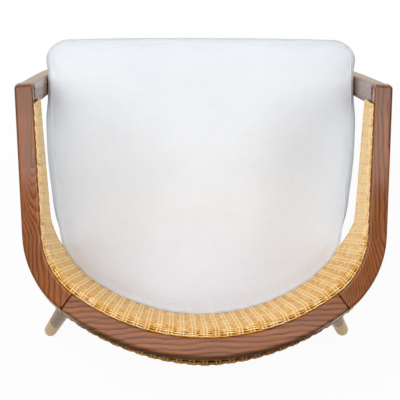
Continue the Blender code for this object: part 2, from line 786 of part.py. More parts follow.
# Seat board, its screws and the cushion
def seat_outline(inset, pinch):
    """Plan points of the seat's outline, moved inward, and drawn in beside the posts for the cushion."""
    points = []
    marks = SEAT.marks[:-1]
    for distance in [*marks, *[-mark for mark in marks[:0:-1]]]:
        points.append((distance, SEAT.place(distance, -inset)))
    apex = Vector((0, SEAT.at(SEAT.length)[0].y + inset))
    half = len(marks)
    points.insert(half, (SEAT.length, apex))
    return [drawn_in(point) if pinch else point for _, point in points]


def drawn_in(point):
    """Keeps the cushion clear of the front post, easing in and out along its side."""
    foot = front_foot(1)
    post_y = foot.y + (CUSHION_BASE_Z + CUSHION_EDGE / 2) * math.tan(FRONT_RAKE)
    limit = foot.x - POST_WIDTH / 2 - CUSHION_POST_CLEARANCE
    near = 1 - smooth(POST_DEPTH / 2, POST_DEPTH / 2 + CUSHION_PINCH_LENGTH, abs(point.y - post_y))
    excess = max(0, abs(point.x) - limit)
    return Vector((point.x - math.copysign(excess * near, point.x), point.y))


def build_board(look):
    outline = seat_outline(BOARD_INSET, True)
    mesh = bmesh.new()
    skin(mesh, [[Vector((*point, z)) for point in outline] for z in (BOARD_BASE_Z, BOARD_TOP_Z)])
    return finish("seat_board", mesh, look)


def screw_places():
    """Plan points of the board's screws by name: two each in the back, side and front rails."""
    middle = -SEAT_RAIL_INSET - SEAT_RAIL_THICKNESS / 2
    side_distance = mix(SEAT_JOINT, side_rail_front(), SCREW_SIDE_SHARE)
    front_x = SCREW_FRONT_SHARE * SEAT.place(side_rail_front()).x
    places = {}
    for word, side in SIDES:
        places[f"board_screw_back_{word}"] = SEAT.place(side * SCREW_BACK_SHARE * SEAT_JOINT, middle)
        places[f"board_screw_side_{word}"] = SEAT.place(side * side_distance, middle)
        places[f"board_screw_front_{word}"] = Vector((side * front_x, SEAT_FRONT_Y - middle))
    return places


def screw_rings(place, grow):
    """A countersunk screw from the board's top down into a rail."""
    up = Vector((0, 0, 1))
    cone = (SCREW_HEAD_DIAMETER - SCREW_DIAMETER) / 2
    top = BOARD_TOP_Z - GAP + (OVERRUN if grow else 0)
    neck = BOARD_TOP_Z - GAP - cone
    rings = []
    for z, diameter in (
        (top, SCREW_HEAD_DIAMETER),
        (neck + cone, SCREW_HEAD_DIAMETER),
        (neck, SCREW_DIAMETER),
        (neck - SCREW_LENGTH - grow, SCREW_DIAMETER),
    ):
        rings.append(circle(Vector((*place, z)), up, diameter / 2 + grow, SMALL_SIDES))
    return rings if grow else rings[1:]


def build_screws(look):
    for name, place in screw_places().items():
        mesh = bmesh.new()
        skin(mesh, screw_rings(place, 0))
        finish(name, mesh, look)


def build_screw_bores():
    mesh = bmesh.new()
    for place in screw_places().values():
        skin(mesh, screw_rings(place, GAP))
    return finish("screw_bores", mesh, None, helper=True)


def build_cushion(look):
    """A boxed cushion: flat base, sides that swell between two seams, and a crowned top."""
    edge = CUSHION_EDGE
    mesh = bmesh.new()
    rings = []
    for inset_share, height_share in CUSHION_SIDE_SHARES:
        outline = seat_outline(inset_share * edge, True)
        rings.append([Vector((*point, CUSHION_BASE_Z + height_share * edge)) for point in outline])
    last = rings[-1]
    middle = Vector((0, (SEAT_FRONT_Y + SEAT.place(0).y) / 2, 0))
    for share in CUSHION_TOP_SHARES:
        lift = CUSHION_CROWN * (1 - share**CUSHION_CROWN_POWER)
        z = CUSHION_BASE_Z + edge + lift
        ring = [middle + (point - middle) * share for point in last]
        rings.append([Vector((point.x, point.y, z)) for point in ring])
    skin(mesh, rings)
    return finish("seat_cushion", mesh, look)


# Woven shell
def bulge_share(turn):
    return 1 - smooth(BULGE_FULL_TURN, BULGE_END_TURN, turn)


def sweep_widths():
    """Half the sweep's straight run, and one of its two arcs, both measured along the top rail."""
    arc_high = EDGE_SWEEP_RADIUS * (1 - math.cos(EDGE_SWEEP_ANGLE))
    line_high = (ARM_EDGE_Z - SHELL_BASE_Z) / 2 - arc_high
    return line_high / math.tan(EDGE_SWEEP_ANGLE), EDGE_SWEEP_RADIUS * math.sin(EDGE_SWEEP_ANGLE)


def edge_z(distance):
    """Height of the shell's lower edge: low round the back, then swept up to the arm's band."""
    rise = ARM_EDGE_Z - SHELL_BASE_Z
    line_wide, arc_wide = sweep_widths()
    aside = abs(distance) - (ARM_START + EDGE_SWEEP_PAST_CORNER)
    reach = min(abs(aside), line_wide + arc_wide)
    if reach <= line_wide:
        height = reach * math.tan(EDGE_SWEEP_ANGLE)
    else:
        short = line_wide + arc_wide - reach
        sagitta = EDGE_SWEEP_RADIUS - math.sqrt(EDGE_SWEEP_RADIUS**2 - short**2)
        height = rise / 2 - sagitta
    return SHELL_BASE_Z + rise / 2 + math.copysign(height, aside)


def sweep_marks():
    """Places along the top rail where the lower edge needs a point, on one side."""
    middle = ARM_START + EDGE_SWEEP_PAST_CORNER
    line_wide, arc_wide = sweep_widths()
    asides = [line_wide + share * arc_wide for share in SWEEP_MARK_SHARES]
    return [middle, *[middle + aside for aside in asides], *[middle - aside for aside in asides]]


def shell_distances():
    """Stations of the shell from one front post to the other; those on an arm are still unstretched."""
    marks = {mark for mark in RAIL.marks if mark < ARM_START - LEAST_STEP}
    marks |= set(sweep_marks())
    last = max(marks)
    marks |= {mix(last, ARM_START + ARM_LENGTH, share) for share in BAND_MARK_SHARES}
    positive = sorted(marks)
    kept = [positive[0]]
    for mark in positive[1:]:
        if mark - kept[-1] > LEAST_STEP:
            kept.append(mark)
    return [-mark for mark in kept[:0:-1]] + kept


def stretched(distance, z):
    """Moves an arm's station so that the shell's front edge follows the post's rear face."""
    first = max(sweep_marks())
    if abs(distance) <= first:
        return distance
    end = arm_distance_at_y(post_back_y(z) + GAP)
    share = (abs(distance) - first) / (ARM_START + ARM_LENGTH - first)
    return math.copysign(mix(first, end, share), distance)


def offset_profile(profile, thickness):
    """A copy of a (sideways, height) polyline moved to its side, with level ends."""
    moved = []
    for place, (out, z) in enumerate(profile):
        if place in (0, len(profile) - 1):
            moved.append((out + thickness, z))
            continue
        before = Vector(profile[place - 1])
        after = Vector(profile[place + 1])
        run = (after - before).normalized()
        side = 1 if thickness > 0 else -1
        normal = Vector((abs(run.y), run.x if run.y < 0 else -run.x))
        moved.append((out + side * abs(thickness) * normal.x, z + side * abs(thickness) * normal.y))
    return moved


def under_distance(distance):
    """Where a station of the shell meets the rail's underside, once it is stretched."""
    return stretched(distance, rail_under_z(RAIL.place(distance).y))


def inner_profile(distance):
    """The sitter's side of the inner layer, from its rolled top down, as (out, z)."""
    bulge = bulge_share(RAIL.turn_at(distance))
    top_out = -GAP - WEAVE_THICKNESS
    top_y = RAIL.place(under_distance(distance)).y
    top_z = rail_top_z(top_y) - mix(INNER_TOP_DROP_ARM, INNER_TOP_DROP_BACK, bulge)
    profile = [(top_out, top_z)]
    for aside, down in ROLL_SHARES:
        profile.append((top_out - aside * bulge * INNER_BULGE, top_z - down * INNER_ROLL_DEPTH))
    low = edge_z(distance)
    profile.append((profile[-1][0], (low + profile[-1][1]) / 2))
    profile.append((profile[-1][0], low))
    return profile


def pole_out(distance):
    arm_out = POLE_DIAMETER / 2
    return mix(arm_out, REAR_POST_OUT, bulge_share(RAIL.turn_at(distance)))


def outer_widest(turn):
    """How far out the outer layer swells: past the rail's lower edge at the back, under it at the arms."""
    rail_edge = RAIL_WIDTH + RAIL_DEPTH * math.sin(RAIL_RISE) * math.cos(turn)
    swell = OUTER_BULGE * max(0, 1 - turn / OUTER_BULGE_TURN) ** 2
    tucked = POLE_DIAMETER + 2 * GAP + WEAVE_THICKNESS
    return mix(rail_edge + swell, tucked, smooth(TUCK_START_TURN, BULGE_END_TURN, turn))


def outer_profile(distance):
    """The outside of the outer layer, from the rail's underside down, as (out, z)."""
    turn = RAIL.turn_at(distance)
    widest = outer_widest(turn)
    rail_edge = RAIL_WIDTH + RAIL_DEPTH * math.sin(RAIL_RISE) * math.cos(turn)
    wrapped = max(POLE_DIAMETER, REAR_POST_DIAMETER) / 2 + REAR_POST_OUT
    foot_out = mix(POLE_DIAMETER, wrapped, bulge_share(turn)) + 2 * GAP + WEAVE_THICKNESS
    top_out = min(widest, rail_edge - OUTER_TOP_INSET)
    top_z = rail_under_z(RAIL.place(under_distance(distance), top_out).y) - GAP
    profile = [(top_out, top_z)]
    for aside, down in ROLL_SHARES:
        profile.append((mix(top_out, widest, aside), top_z - down * OUTER_ROLL_DEPTH))
    low = edge_z(distance)
    taper = OUTER_TAPER_SHARE * (top_z - low)
    for aside, up in TAPER_SHARES:
        profile.append((mix(foot_out, widest, aside), low + up * taper))
    profile.append((foot_out, low))
    return profile


def shell_ring(distance, profile, thickness, under):
    """One closed section of a layer. The outer layer's top edge follows the rail's underside."""
    back = offset_profile(profile, thickness)
    if under:
        out, _ = back[0]
        back[0] = (out, rail_under_z(RAIL.place(under_distance(distance), out).y) - GAP)
    ring = []
    for out, z in [*profile, *reversed(back)]:
        ring.append(Vector((*RAIL.place(stretched(distance, z), out), z)))
    return ring


def build_cane(look):
    distances = shell_distances()
    mesh = bmesh.new()
    skin(mesh, [shell_ring(d, inner_profile(d), WEAVE_THICKNESS, False) for d in distances])
    inner = finish("cane_inner", mesh, look)
    mesh = bmesh.new()
    skin(mesh, [shell_ring(d, outer_profile(d), -WEAVE_THICKNESS, True) for d in distances])
    return inner, finish("cane_outer", mesh, look)


# Poles inside the shell
def pole_point(distance):
    z = edge_z(distance) + POLE_DIAMETER / 2
    return Vector((*RAIL.place(distance, pole_out(distance)), z))


def build_rim(name, start, end, look):
    inside = [d for d in shell_distances() if start + LEAST_STEP < d < end - LEAST_STEP]
    points = [pole_point(distance) for distance in (start, *inside, end)]
    mesh = bmesh.new()
    tube(mesh, points, POLE_DIAMETER)
    return finish(name, mesh, look)


def build_upright(name, base, axis, look):
    outline = circle(base, axis, UPRIGHT_DIAMETER / 2, SMALL_SIDES)
    mesh = bmesh.new()
    skin(mesh, [level(outline, axis, base.z), under_rail(outline, axis)])
    finish(name, mesh, look)


def build_uprights(look):
    """Poles between the rim and the top rail: three at the back, one in each arm, one beside each post."""
    arm = ARM_START + UPRIGHT_ARM_SHARE * ARM_LENGTH
    places = {"back_right": -BACK_UPRIGHT, "back_middle": 0, "back_left": BACK_UPRIGHT}
    places |= {"arm_left": arm, "arm_right": -arm}
    for word, distance in places.items():
        turn = RAIL.turn_at(distance)
        base = pole_point(distance) + Vector((0, 0, POLE_DIAMETER / 2 + GAP))
        top_out = (RAIL_WIDTH + RAIL_DEPTH * math.sin(RAIL_RISE) * math.cos(turn)) / 2
        top = RAIL.place(distance, top_out)
        top = Vector((*top, rail_under_z(top.y)))
        build_upright(f"shell_upright_{word}", base, (top - base).normalized(), look)
    for word, side in SIDES:
        base_z = ARM_EDGE_Z + POLE_DIAMETER + GAP
        distance = arm_distance_at_y(post_back_y(base_z) + STILE_SETBACK)
        base = Vector((*RAIL.place(side * distance, pole_out(distance)), base_z))
        build_upright(f"shell_stile_{word}", base, FRONT_AXIS, look)


def build_poles(look, rooms):
    """The bent rim poles of the shell's lower edge, let into the posts, and the uprights on them."""
    post_z = ARM_EDGE_Z + POLE_DIAMETER / 2
    front = arm_distance_at_y(-FOOT_Y + post_z * math.tan(FRONT_RAKE))
    rims = {
        "left": build_rim("shell_rim_left", REAR_POST, front, look),
        "right": build_rim("shell_rim_right", -front, -REAR_POST, look),
        "back": build_rim("shell_rim_back", -REAR_POST, REAR_POST, look),
    }
    cut(rims["left"], rooms["front", 1], rooms["rear", 1])
    cut(rims["right"], rooms["front", -1], rooms["rear", -1])
    cut(rims["back"], rooms["rear", 1], rooms["rear", -1])
    build_uprights(look)


def main():
    for old in list(bpy.data.objects):
        bpy.data.objects.remove(old, do_unlink=True)
    origin = bpy.data.objects.new("chair_origin", None)
    bpy.context.scene.collection.objects.link(origin)

    walnut = material("walnut_stain", (0.23, 0.10, 0.045), 0.42)
    frame_wood = material("frame_wood", (0.42, 0.28, 0.16), 0.6)
    brass = material("brass", (0.62, 0.45, 0.22), 0.28, 1.0)
    plastic = material("glide_plastic", (0.02, 0.02, 0.02), 0.5)
    steel = material("zinc_steel", (0.55, 0.55, 0.56), 0.35, 1.0)
    cane = material("cane", (0.72, 0.50, 0.24), 0.55)
    rattan = material("rattan_pole", (0.62, 0.42, 0.20), 0.6)
    plywood = material("plywood", (0.65, 0.50, 0.33), 0.65)
    cloth = material("cushion_cloth", (0.84, 0.86, 0.88), 0.9)

    bores = build_rail_bores()
    for rail in (
        build_back_rail(walnut),
        build_arm_rail("arm_rail_left", 1, walnut),
        build_arm_rail("arm_rail_right", -1, walnut),
    ):
        cut(rail, bores)
    build_seam_dowels(frame_wood)

    legs = build_legs(walnut)
    rooms = build_leg_clearances()
    build_feet(brass, plastic)

    frame_bores = build_frame_bores()
    screw_bores = build_screw_bores()
    rails = build_seat_rails(frame_wood)
    cut(rails["left"], rooms["front", 1], frame_bores, screw_bores)
    cut(rails["right"], rooms["front", -1], frame_bores, screw_bores)
    cut(rails["back"], rooms["rear", 1], rooms["rear", -1], frame_bores, screw_bores)
    cut(rails["front"], screw_bores)
    for leg in legs.values():
        cut(leg, frame_bores)
    build_corner_blocks(frame_wood)
    build_frame_dowels(frame_wood)
    build_bolts(steel)
    cut(build_board(plywood), screw_bores)
    build_screws(steel)
    build_cushion(cloth)

    build_cane(cane)
    build_poles(rattan, rooms)


main()
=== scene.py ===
"""Dressed cane back chair: lacquered wood rail and legs, a double shell of woven cane, a boxed cushion.

Metres, +Z up, the front towards -Y and the sitter's left at +X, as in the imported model.
"""

import json
import math

import bpy
import numpy as np
from mathutils import Matrix, Vector
from mathutils.bvhtree import BVHTree

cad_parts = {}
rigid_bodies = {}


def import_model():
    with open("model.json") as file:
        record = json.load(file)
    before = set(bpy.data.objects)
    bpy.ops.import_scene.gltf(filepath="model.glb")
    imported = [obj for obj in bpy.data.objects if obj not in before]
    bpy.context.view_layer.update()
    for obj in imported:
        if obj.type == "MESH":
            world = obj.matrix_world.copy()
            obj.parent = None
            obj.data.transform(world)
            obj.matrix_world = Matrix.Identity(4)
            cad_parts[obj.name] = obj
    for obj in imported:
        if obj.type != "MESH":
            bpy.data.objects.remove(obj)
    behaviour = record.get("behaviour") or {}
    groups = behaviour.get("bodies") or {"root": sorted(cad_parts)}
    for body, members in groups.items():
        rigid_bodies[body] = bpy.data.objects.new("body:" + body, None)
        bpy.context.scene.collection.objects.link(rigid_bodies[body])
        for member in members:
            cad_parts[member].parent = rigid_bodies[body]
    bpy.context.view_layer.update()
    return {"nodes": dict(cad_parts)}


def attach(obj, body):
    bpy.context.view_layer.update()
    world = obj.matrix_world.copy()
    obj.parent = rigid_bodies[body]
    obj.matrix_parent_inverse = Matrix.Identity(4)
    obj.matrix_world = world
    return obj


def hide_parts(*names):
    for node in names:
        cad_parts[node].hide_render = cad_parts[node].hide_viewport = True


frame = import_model()
BODY = "root"

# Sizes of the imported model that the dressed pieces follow
GAP = 0.0003
RAIL_RISE = math.radians(15)
ARM_TOP_Z = 0.665
ARM_FRONT_Y = -0.166
BACK_APEX_Y = 0.2147
BACK_RADIUS = 0.331
SEAM_TURN = math.radians(36)
CORNER_RADIUS = 0.120
ARM_TURN = math.radians(85)
RAIL_WIDTH = 0.028
RAIL_DEPTH = 0.032
POST_WIDTH = 0.029
POST_DEPTH = 0.037
FRONT_RAKE = math.radians(10.3)
FOOT_Y = 0.267
REAR_POST_OUT = 0.017
REAR_POST_DIAMETER = 0.026
SEAT_CLEARANCE = 0.0145
SEAT_BACK_RADIUS = 0.310
SEAT_BACK_TURN = math.radians(33)
SEAT_CORNER_RADIUS = 0.170
SEAT_CORNER_TURN = math.radians(76)
SEAT_SIDE_RADIUS = 0.720
SEAT_SIDE_TURN = math.radians(88)
SEAT_FRONT_Y = -0.2685
SEAT_FRONT_CORNER_RADIUS = 0.042
SEAT_FRONT_BOW = math.radians(1.4)
CUSHION_BASE_Z = 0.410
CUSHION_EDGE = 0.049
CUSHION_CROWN = 0.016
CUSHION_PINCH_LENGTH = 0.045
CUSHION_POST_CLEARANCE = 0.0012
SHELL_BASE_Z = 0.3977
SHELL_THICKNESS = 0.003
POLE_DIAMETER = 0.022
INNER_BULGE = 0.0080
INNER_ROLL_DEPTH = 0.012
INNER_TOP_DROP_BACK = 0.0007
INNER_TOP_DROP_ARM = 0.0045
OUTER_BULGE = 0.009
OUTER_ROLL_DEPTH = 0.012
OUTER_BULGE_TURN = math.radians(75)
OUTER_TOP_INSET = 0.0005
OUTER_TAPER_SHARE = 0.35
BULGE_FULL_TURN = math.radians(45)
BULGE_END_TURN = math.radians(83)
TUCK_START_TURN = math.radians(62)
ARM_EDGE_Z = 0.597
EDGE_SWEEP_ANGLE = math.radians(73)
EDGE_SWEEP_RADIUS = 0.026
EDGE_SWEEP_PAST_CORNER = -0.012

# How sharply the two layers' profiles round, the point that both go round, and a step for measuring slopes
INNER_ROLL_POWER = 1.5
OUTER_ROLL_POWER = 2.6
OUTER_TAPER_POWER = 1.45
MIDDLE_Y = -0.05
PROBE = 0.0004

# Rows: a pair of strands twined round the stakes, of which a cell holds one pair
STAKE_CELLS = 62
STRAND_SIDES = 6
WEAVER_WIDTH = 0.0024
WEAVER_THICKNESS = 0.0013
WEAVE_SWING = 0.0016
WEAVE_DIP = 0.0008
TWINE_LIFT = 0.0003
CELL_QUARTERS = 8
ROW_LAID = 0.012  # spacing while the rows still lie flat
ROWS = 110
BAND_ROWS = 28  # rows in one piece
ROLL_ROWS = 6
ROLL_ROW_PITCH = 0.0038
ROLL_TILT = 0.5
ROLL_NARROWER = 0.88
WALL_WIDER = 1.28
NARROW_ROWS = 3
FIRST_ROW_DROP = 0.22
ROW_WOBBLE = 0.0006
ROW_EDGE_GAP = 0.0022
TOP_LAP = 0.0024
TOP_LAP_POWER = 2
FRONT_LAP = 0.010
TOP_LAP_SHARE = 0.9
EDGE_STOPS = 1400

# Stakes, and the strands twisted along the lower edge
STAKE_DIAMETER = 0.0020
STAKE_SPREAD = 0.0025
STAKE_CUTS = 33
STAKE_TOP_DROP = 0.0008
STAKE_FOOT_LIFT = 0.001
STAKE_END_ROOM = 2.2
STAKE_FIBRE_LENGTH = 0.35
TWIST_STOPS = 1600
TWIST_STRANDS = 3
TWIST_DIAMETER = 0.0022
TWIST_RADIUS = 0.00125
TWIST_PITCH = 0.013
TWIST_LIFT = 0.0016
TWIST_CUT = 0.0019  # length between two cuts
TWIST_LAID = 0.01  # spacing while the strands still lie flat

# Cushion: (inset, height) rings from the base to the top seam, and shares of the plan for its crown
CUSHION_RINGS = (
    (0.0040, 0.0),
    (0.0006, 0.003),
    (-0.0010, 0.012),
    (-0.0020, 0.024),
    (-0.0018, 0.035),
    (0.0004, 0.0415),
    (0.0045, 0.0458),
    (0.0090, 0.0482),
    (0.0135, 0.0497),
)
CROWN_SHARES = (0.97, 0.9, 0.78, 0.62, 0.44, 0.25, 0.1)
CROWN_POWER = 2.6
CROWN_AIR_ROOM = 0.0015  # left for the air to lift
CUSHION_POINTS = 220
CUSHION_WALL_STOPS = 700
CUSHION_WALL_CLEARANCE = -0.0012  # it dips into the weave
CUSHION_PRESS = 0.007
CUSHION_PRESS_Y = (-0.02, 0.08)
CUSHION_POST_INSET_SHARE = 0.6
CUSHION_VOXEL = 0.0045
CUSHION_BASE_ROOM = 0.0002
AIR_FRAMES = 20
AIR_MOST = 0.0025
SEAM_POINTS = 420
SEAM_RADIUS = 0.0008
TOP_SEAM = (0.0090, CUSHION_EDGE)
BASE_SEAM = (0.0008, 0.003)

# Tone: each strand's share of golden, the arms' cane painted paler as painted light, and the wood's painted
# seam shade and curl
TONE_RANGE = (0.25, 0.75)
TONE_DRIFT = 0.34
TONE_KNOTS = 52
ARM_PAINTED_LIGHT = 0.5
ARM_PAINTED_LIGHT_SHARES = (0.75, 1.15)
SEAM_SHADE_WIDTHS = (0.0007, 0.0016)
CURL_PITCH = 0.0050
CURL_Y = (-0.125, -0.105)


# Shading arithmetic
class Tone:
    """A value in a finish's node tree, so that shading is written as sums and products."""

    def __init__(self, finish, socket):
        self.finish = finish
        self.socket = socket

    def maths(self, operation, *others):
        return self.finish.node("Math", {"operation": operation}, self, *others)

    def __add__(self, other):
        return self.maths("ADD", other)

    def __radd__(self, other):
        return self.maths("ADD", other)

    def __sub__(self, other):
        return self.maths("SUBTRACT", other)

    def __rsub__(self, other):
        return self.finish.node("Math", {"operation": "SUBTRACT"}, other, self)

    def __mul__(self, other):
        return self.maths("MULTIPLY", other)

    def __rmul__(self, other):
        return self.maths("MULTIPLY", other)

    def __abs__(self):
        return self.maths("ABSOLUTE")


class Shading:
    """A node tree whose nodes are added one at a time.

    node takes a node's type, its settings, and its sockets' values or links, in order or by name.
    """

    def __init__(self, tree):
        self.tree = tree

    def node(self, kind, settings=None, *inputs, output=0, **named):
        made = self.tree.nodes.new("ShaderNode" + kind)
        for key, value in (settings or {}).items():
            setattr(made, key, value)
        pairs = [(made.inputs[number], value) for number, value in enumerate(inputs)]
        pairs += [(made.inputs[key.replace("_", " ")], value) for key, value in named.items()]
        for socket, value in pairs:
            if isinstance(value, Tone):
                self.tree.links.new(value.socket, socket)
            elif value is not None:
                socket.default_value = value
        return Tone(self, made.outputs[output])

    def noise(self, place, scale, detail, roughness=0.5):
        return self.node("TexNoise", None, Vector=place, Scale=scale, Detail=detail, Roughness=roughness)

    def apart(self, place):
        split = self.tree.nodes.new("ShaderNodeSeparateXYZ")
        self.tree.links.new(place.socket, split.inputs[0])
        return [Tone(self, socket) for socket in split.outputs]

    def joined(self, x, y, z):
        return self.node("CombineXYZ", None, x, y, z)

    def step(self, value, low, high, to_low=0.0, to_high=1.0):
        return self.node("MapRange", {"interpolation_type": "SMOOTHSTEP"}, value, low, high, to_low, to_high)

    def blend(self, share, low, high, way="MIX"):
        made = self.tree.nodes.new("ShaderNodeMix")
        made.data_type = "RGBA"
        made.blend_type = way
        for socket, value in ((made.inputs[0], share), (made.inputs[6], low), (made.inputs[7], high)):
            if isinstance(value, Tone):
                self.tree.links.new(value.socket, socket)
            else:
                socket.default_value = value if isinstance(value, (int, float)) else (*value, 1)
        return Tone(self, made.outputs[2])

    def light(self, strength):
        """A plain white background of a given strength."""
        return self.node("Background", None, (1, 1, 1, 1), strength)

    def either(self, share, low, high):
        return self.node("MixShader", None, share, low, high)


class Finish(Shading):
    """A material with a single surface shader."""

    def __init__(self, name, **plain):
        self.material = bpy.data.materials.new(name)
        self.material.use_nodes = True
        super().__init__(self.material.node_tree)
        self.shader = self.tree.nodes["Principled BSDF"]
        self.place = self.node("TexCoord", output="Object")
        for socket, value in plain.items():
            self.shader.inputs[socket.replace("_", " ")].default_value = value

    def surface(self, **links):
        """Links values to the surface shader; bump is a (height, depth in metres) pair."""
        bump = links.pop("bump", None)
        if bump:
            height, depth = bump
            made = self.node("Bump", None, Height=height, Distance=depth, Strength=1.0)
            self.tree.links.new(made.socket, self.shader.inputs["Normal"])
        for socket, value in links.items():
            self.tree.links.new(value.socket, self.shader.inputs[socket.replace("_", " ")])
        return self.material

    def stretched(self, scale):
        return self.node("Mapping", None, self.place, Scale=scale)


def linear(red, green, blue):
    """A screen colour, 0 to 255, as scene values."""
    values = [value / 255 for value in (red, green, blue)]
    return tuple(v / 12.92 if v <= 0.04045 else ((v + 0.055) / 1.055) ** 2.4 for v in values)


def stained_ash(name, grain, light=(142, 82, 38), dark=(70, 34, 14), rings_per_metre=150, seam=False):
    """Stained open-grained wood under a satin lacquer. grain gives (along, across, growth) in metres.

    With seam, a rail piece has painted shade in the eased edge of its seam, and an arm has curly grain at
    its front.
    """
    f = Finish(name, Coat_Weight=0.8, Coat_Roughness=0.09, Specular_IOR_Level=0.15)
    along, across, growth = grain(f)
    warp = f.noise(f.stretched((4, 4, 4)), 4.0, 3.0) - 0.5
    rings = (growth + warp * 0.012) * rings_per_metre
    ring = (rings + f.noise(f.place, 11.0, 2.0) * 1.3).maths("FRACT")
    late = f.step(ring, 0.3, 0.88) * (1 - f.step(ring, 0.88, 1.0))
    streaks = f.noise(f.joined(along * 14, across * 520, growth * 520), 1.0, 4.0, 0.6)
    pores = f.step(f.noise(f.joined(along * 40, across * 1500, growth * 1500), 1.0, 2.0), 0.58, 0.72)
    wide = f.noise(f.joined(along * 3, across * 30, growth * 30), 1.0, 2.0)
    mask = late * 0.58 + f.step(streaks, 0.38, 0.75) * 0.46
    deep = linear(*dark)
    body = f.blend(mask, linear(*light), deep)
    tint = f.blend(f.step(wide, 0.3, 0.7), (1.12, 1.04, 0.98), (0.84, 0.86, 0.90))
    body = f.blend(1.0, body, tint, "MULTIPLY")
    body = f.blend(pores * (0.25 + late * 0.5), body, tuple(v * 0.3 for v in deep))
    if seam:
        x, y, z = f.apart(f.place)
        centre_y = BACK_APEX_Y - BACK_RADIUS
        aside = abs(x) * math.cos(SEAM_TURN) - (y - centre_y) * math.sin(SEAM_TURN)
        # Painted shade: a dark line along the rail seam, for the shadow in its eased edge
        body = f.blend((1 - f.step(abs(aside), *SEAM_SHADE_WIDTHS)) * 0.9, body, linear(34, 16, 8))
        curl = ((abs(x) + y + warp * 0.004) * (2 * math.pi / CURL_PITCH)).maths("SINE")
        body = f.blend((1 - f.step(y, *CURL_Y)) * (curl * 0.5 + 0.5) * 0.5, body, deep)
    rough = 0.33 + streaks * 0.12 + pores * 0.1
    height = (1 - pores * (0.4 + late * 0.6)) + streaks * 0.3
    return f.surface(Base_Color=body, Roughness=rough, bump=(height, 0.00012))


def rail_grain(centre, run, lean, arch, bend):
    """Plain-sawn figure on a flat rail: lines follow run, and over arch's stretch they close in tips.

    arch is (start, end, rise) in metres along the run, bend the tips' sharpness at its start and end.
    """

    def grain(f):
        x, y, z = f.apart(f.place)
        along = (x - centre[0]) * run[0] + (y - centre[1]) * run[1]
        across = (x - centre[0]) * -run[1] + (y - centre[1]) * run[0]
        start, end, rise = arch
        climb = f.node("MapRange", None, along, start, end, 0.0, rise)
        sharp = f.step(along, start, end, *bend)
        growth = across * lean + across * across * sharp + climb + z * 0.1
        return along, across, growth

    return grain


def leg_grain(f):
    x, y, z = f.apart(f.place)
    return z, x + z * 0.02, y * 0.8 + z * 0.05


def plain_wood(name, tone, deep):
    f = Finish(name)
    x, y, z = f.apart(f.place)
    streaks = f.noise(f.joined(x * 60, y * 60, z * 300), 1.0, 4.0, 0.6)
    cloud = f.noise(f.place, 14.0, 3.0)
    body = f.blend(f.step(streaks * 0.7 + cloud * 0.3, 0.35, 0.7), linear(*tone), linear(*deep))
    return f.surface(Base_Color=body, Roughness=0.5 + streaks * 0.2, bump=(streaks, 0.0001))


def plywood_face(name):
    f = Finish(name)
    x, y, z = f.apart(f.place)
    streaks = f.noise(f.joined(x * 18, y * 260, 0), 1.0, 4.0, 0.6)
    ply = f.step((z * 1000).maths("PINGPONG", 1.5), 0.6, 1.0)
    body = f.blend(streaks, linear(222, 196, 152), linear(188, 154, 108))
    body = f.blend(ply * 0.35, body, linear(140, 105, 70))
    return f.surface(Base_Color=body, Roughness=0.55 + streaks * 0.2, bump=(streaks, 0.00008))


def brushed_metal(name, pale, deep, roughness):
    f = Finish(name, Metallic=0.55)
    x, y, z = f.apart(f.place)
    lines = f.noise(f.joined(x * 900, y * 900, z * 30), 1.0, 3.0, 0.6)
    cloud = f.noise(f.place, 60.0, 4.0)
    body = f.blend(f.step(cloud * 0.4 + lines * 0.6, 0.35, 0.65), linear(*pale), linear(*deep))
    rough = roughness + lines * 0.16 + cloud * 0.06
    return f.surface(Base_Color=body, Roughness=rough, bump=(lines, 0.00002))


def moulded_nylon(name):
    f = Finish(name)
    grain = f.noise(f.place, 900.0, 3.0)
    worn = f.noise(f.place, 70.0, 4.0)
    body = f.blend(f.step(worn, 0.45, 0.75), linear(38, 38, 38), linear(66, 65, 63))
    return f.surface(Base_Color=body, Roughness=0.5 + grain * 0.25, bump=(grain, 0.00005))


def peeled_cane(name, pale, golden, deep, over_stake_highlight=None):
    """Split cane: each strand has its own tone, long fibres and darker nodes along it.

    Woven strands get a painted pale highlight where they ride over a stake, and painted shade where they
    pass behind.
    """
    f = Finish(name, Coat_Weight=0.06, Coat_Roughness=0.35, Specular_IOR_Level=0.3)
    laid = f.node("Attribute", {"attribute_name": "strand"}, output="Vector")
    tone = f.node("Attribute", {"attribute_name": "tone"}, output="Fac")
    along, row, depth = f.apart(laid)
    fibres = f.noise(f.joined(along * 45, row * 7.3, depth * 2.6), 1.0, 3.0, 0.6)
    mottle = f.noise(f.joined(along * 110, row * 0.11, 0), 1.0, 2.0)
    body = f.blend(f.step(tone + (mottle - 0.5) * 1.3, 0.0, 0.85), linear(*pale), linear(*golden))
    body = f.blend(f.step(fibres, 0.55, 0.8) * 0.35, body, linear(*deep))
    if over_stake_highlight:
        # Painted highlight: strands drawn pale where they ride over a stake pair
        aside = along.maths("PINGPONG", CELL / 2)
        highlight_share = 1 - f.step(abs(aside - STAKE_SPREAD), 0.0005, 0.0016)
        body = f.blend(highlight_share * f.step(depth, 0.6, 1.4) * 0.85, body, linear(*over_stake_highlight))
        # Painted shade: strands darkened to the deep colour where they pass behind the stakes
        body = f.blend(1 - f.step(depth, -1.3, -0.2), body, linear(*deep))
    return f.surface(Base_Color=body, Roughness=0.42 + fibres * 0.2, bump=(fibres, 0.00012))


def rattan_skin(name):
    f = Finish(name)
    x, y, z = f.apart(f.place)
    fibres = f.noise(f.stretched((400, 400, 60)), 1.0, 4.0, 0.6)
    cloud = f.noise(f.place, 22.0, 4.0)
    # Painted shade: the poles are a deep brown, so that the gaps between cane rows in front of them read
    # dark
    body = f.blend(f.step(cloud, 0.3, 0.7), linear(126, 82, 46), linear(98, 60, 32))
    body = f.blend(f.step(fibres, 0.5, 0.8) * 0.4, body, linear(70, 42, 22))
    return f.surface(Base_Color=body, Roughness=0.5 + fibres * 0.2, bump=(fibres, 0.0001))


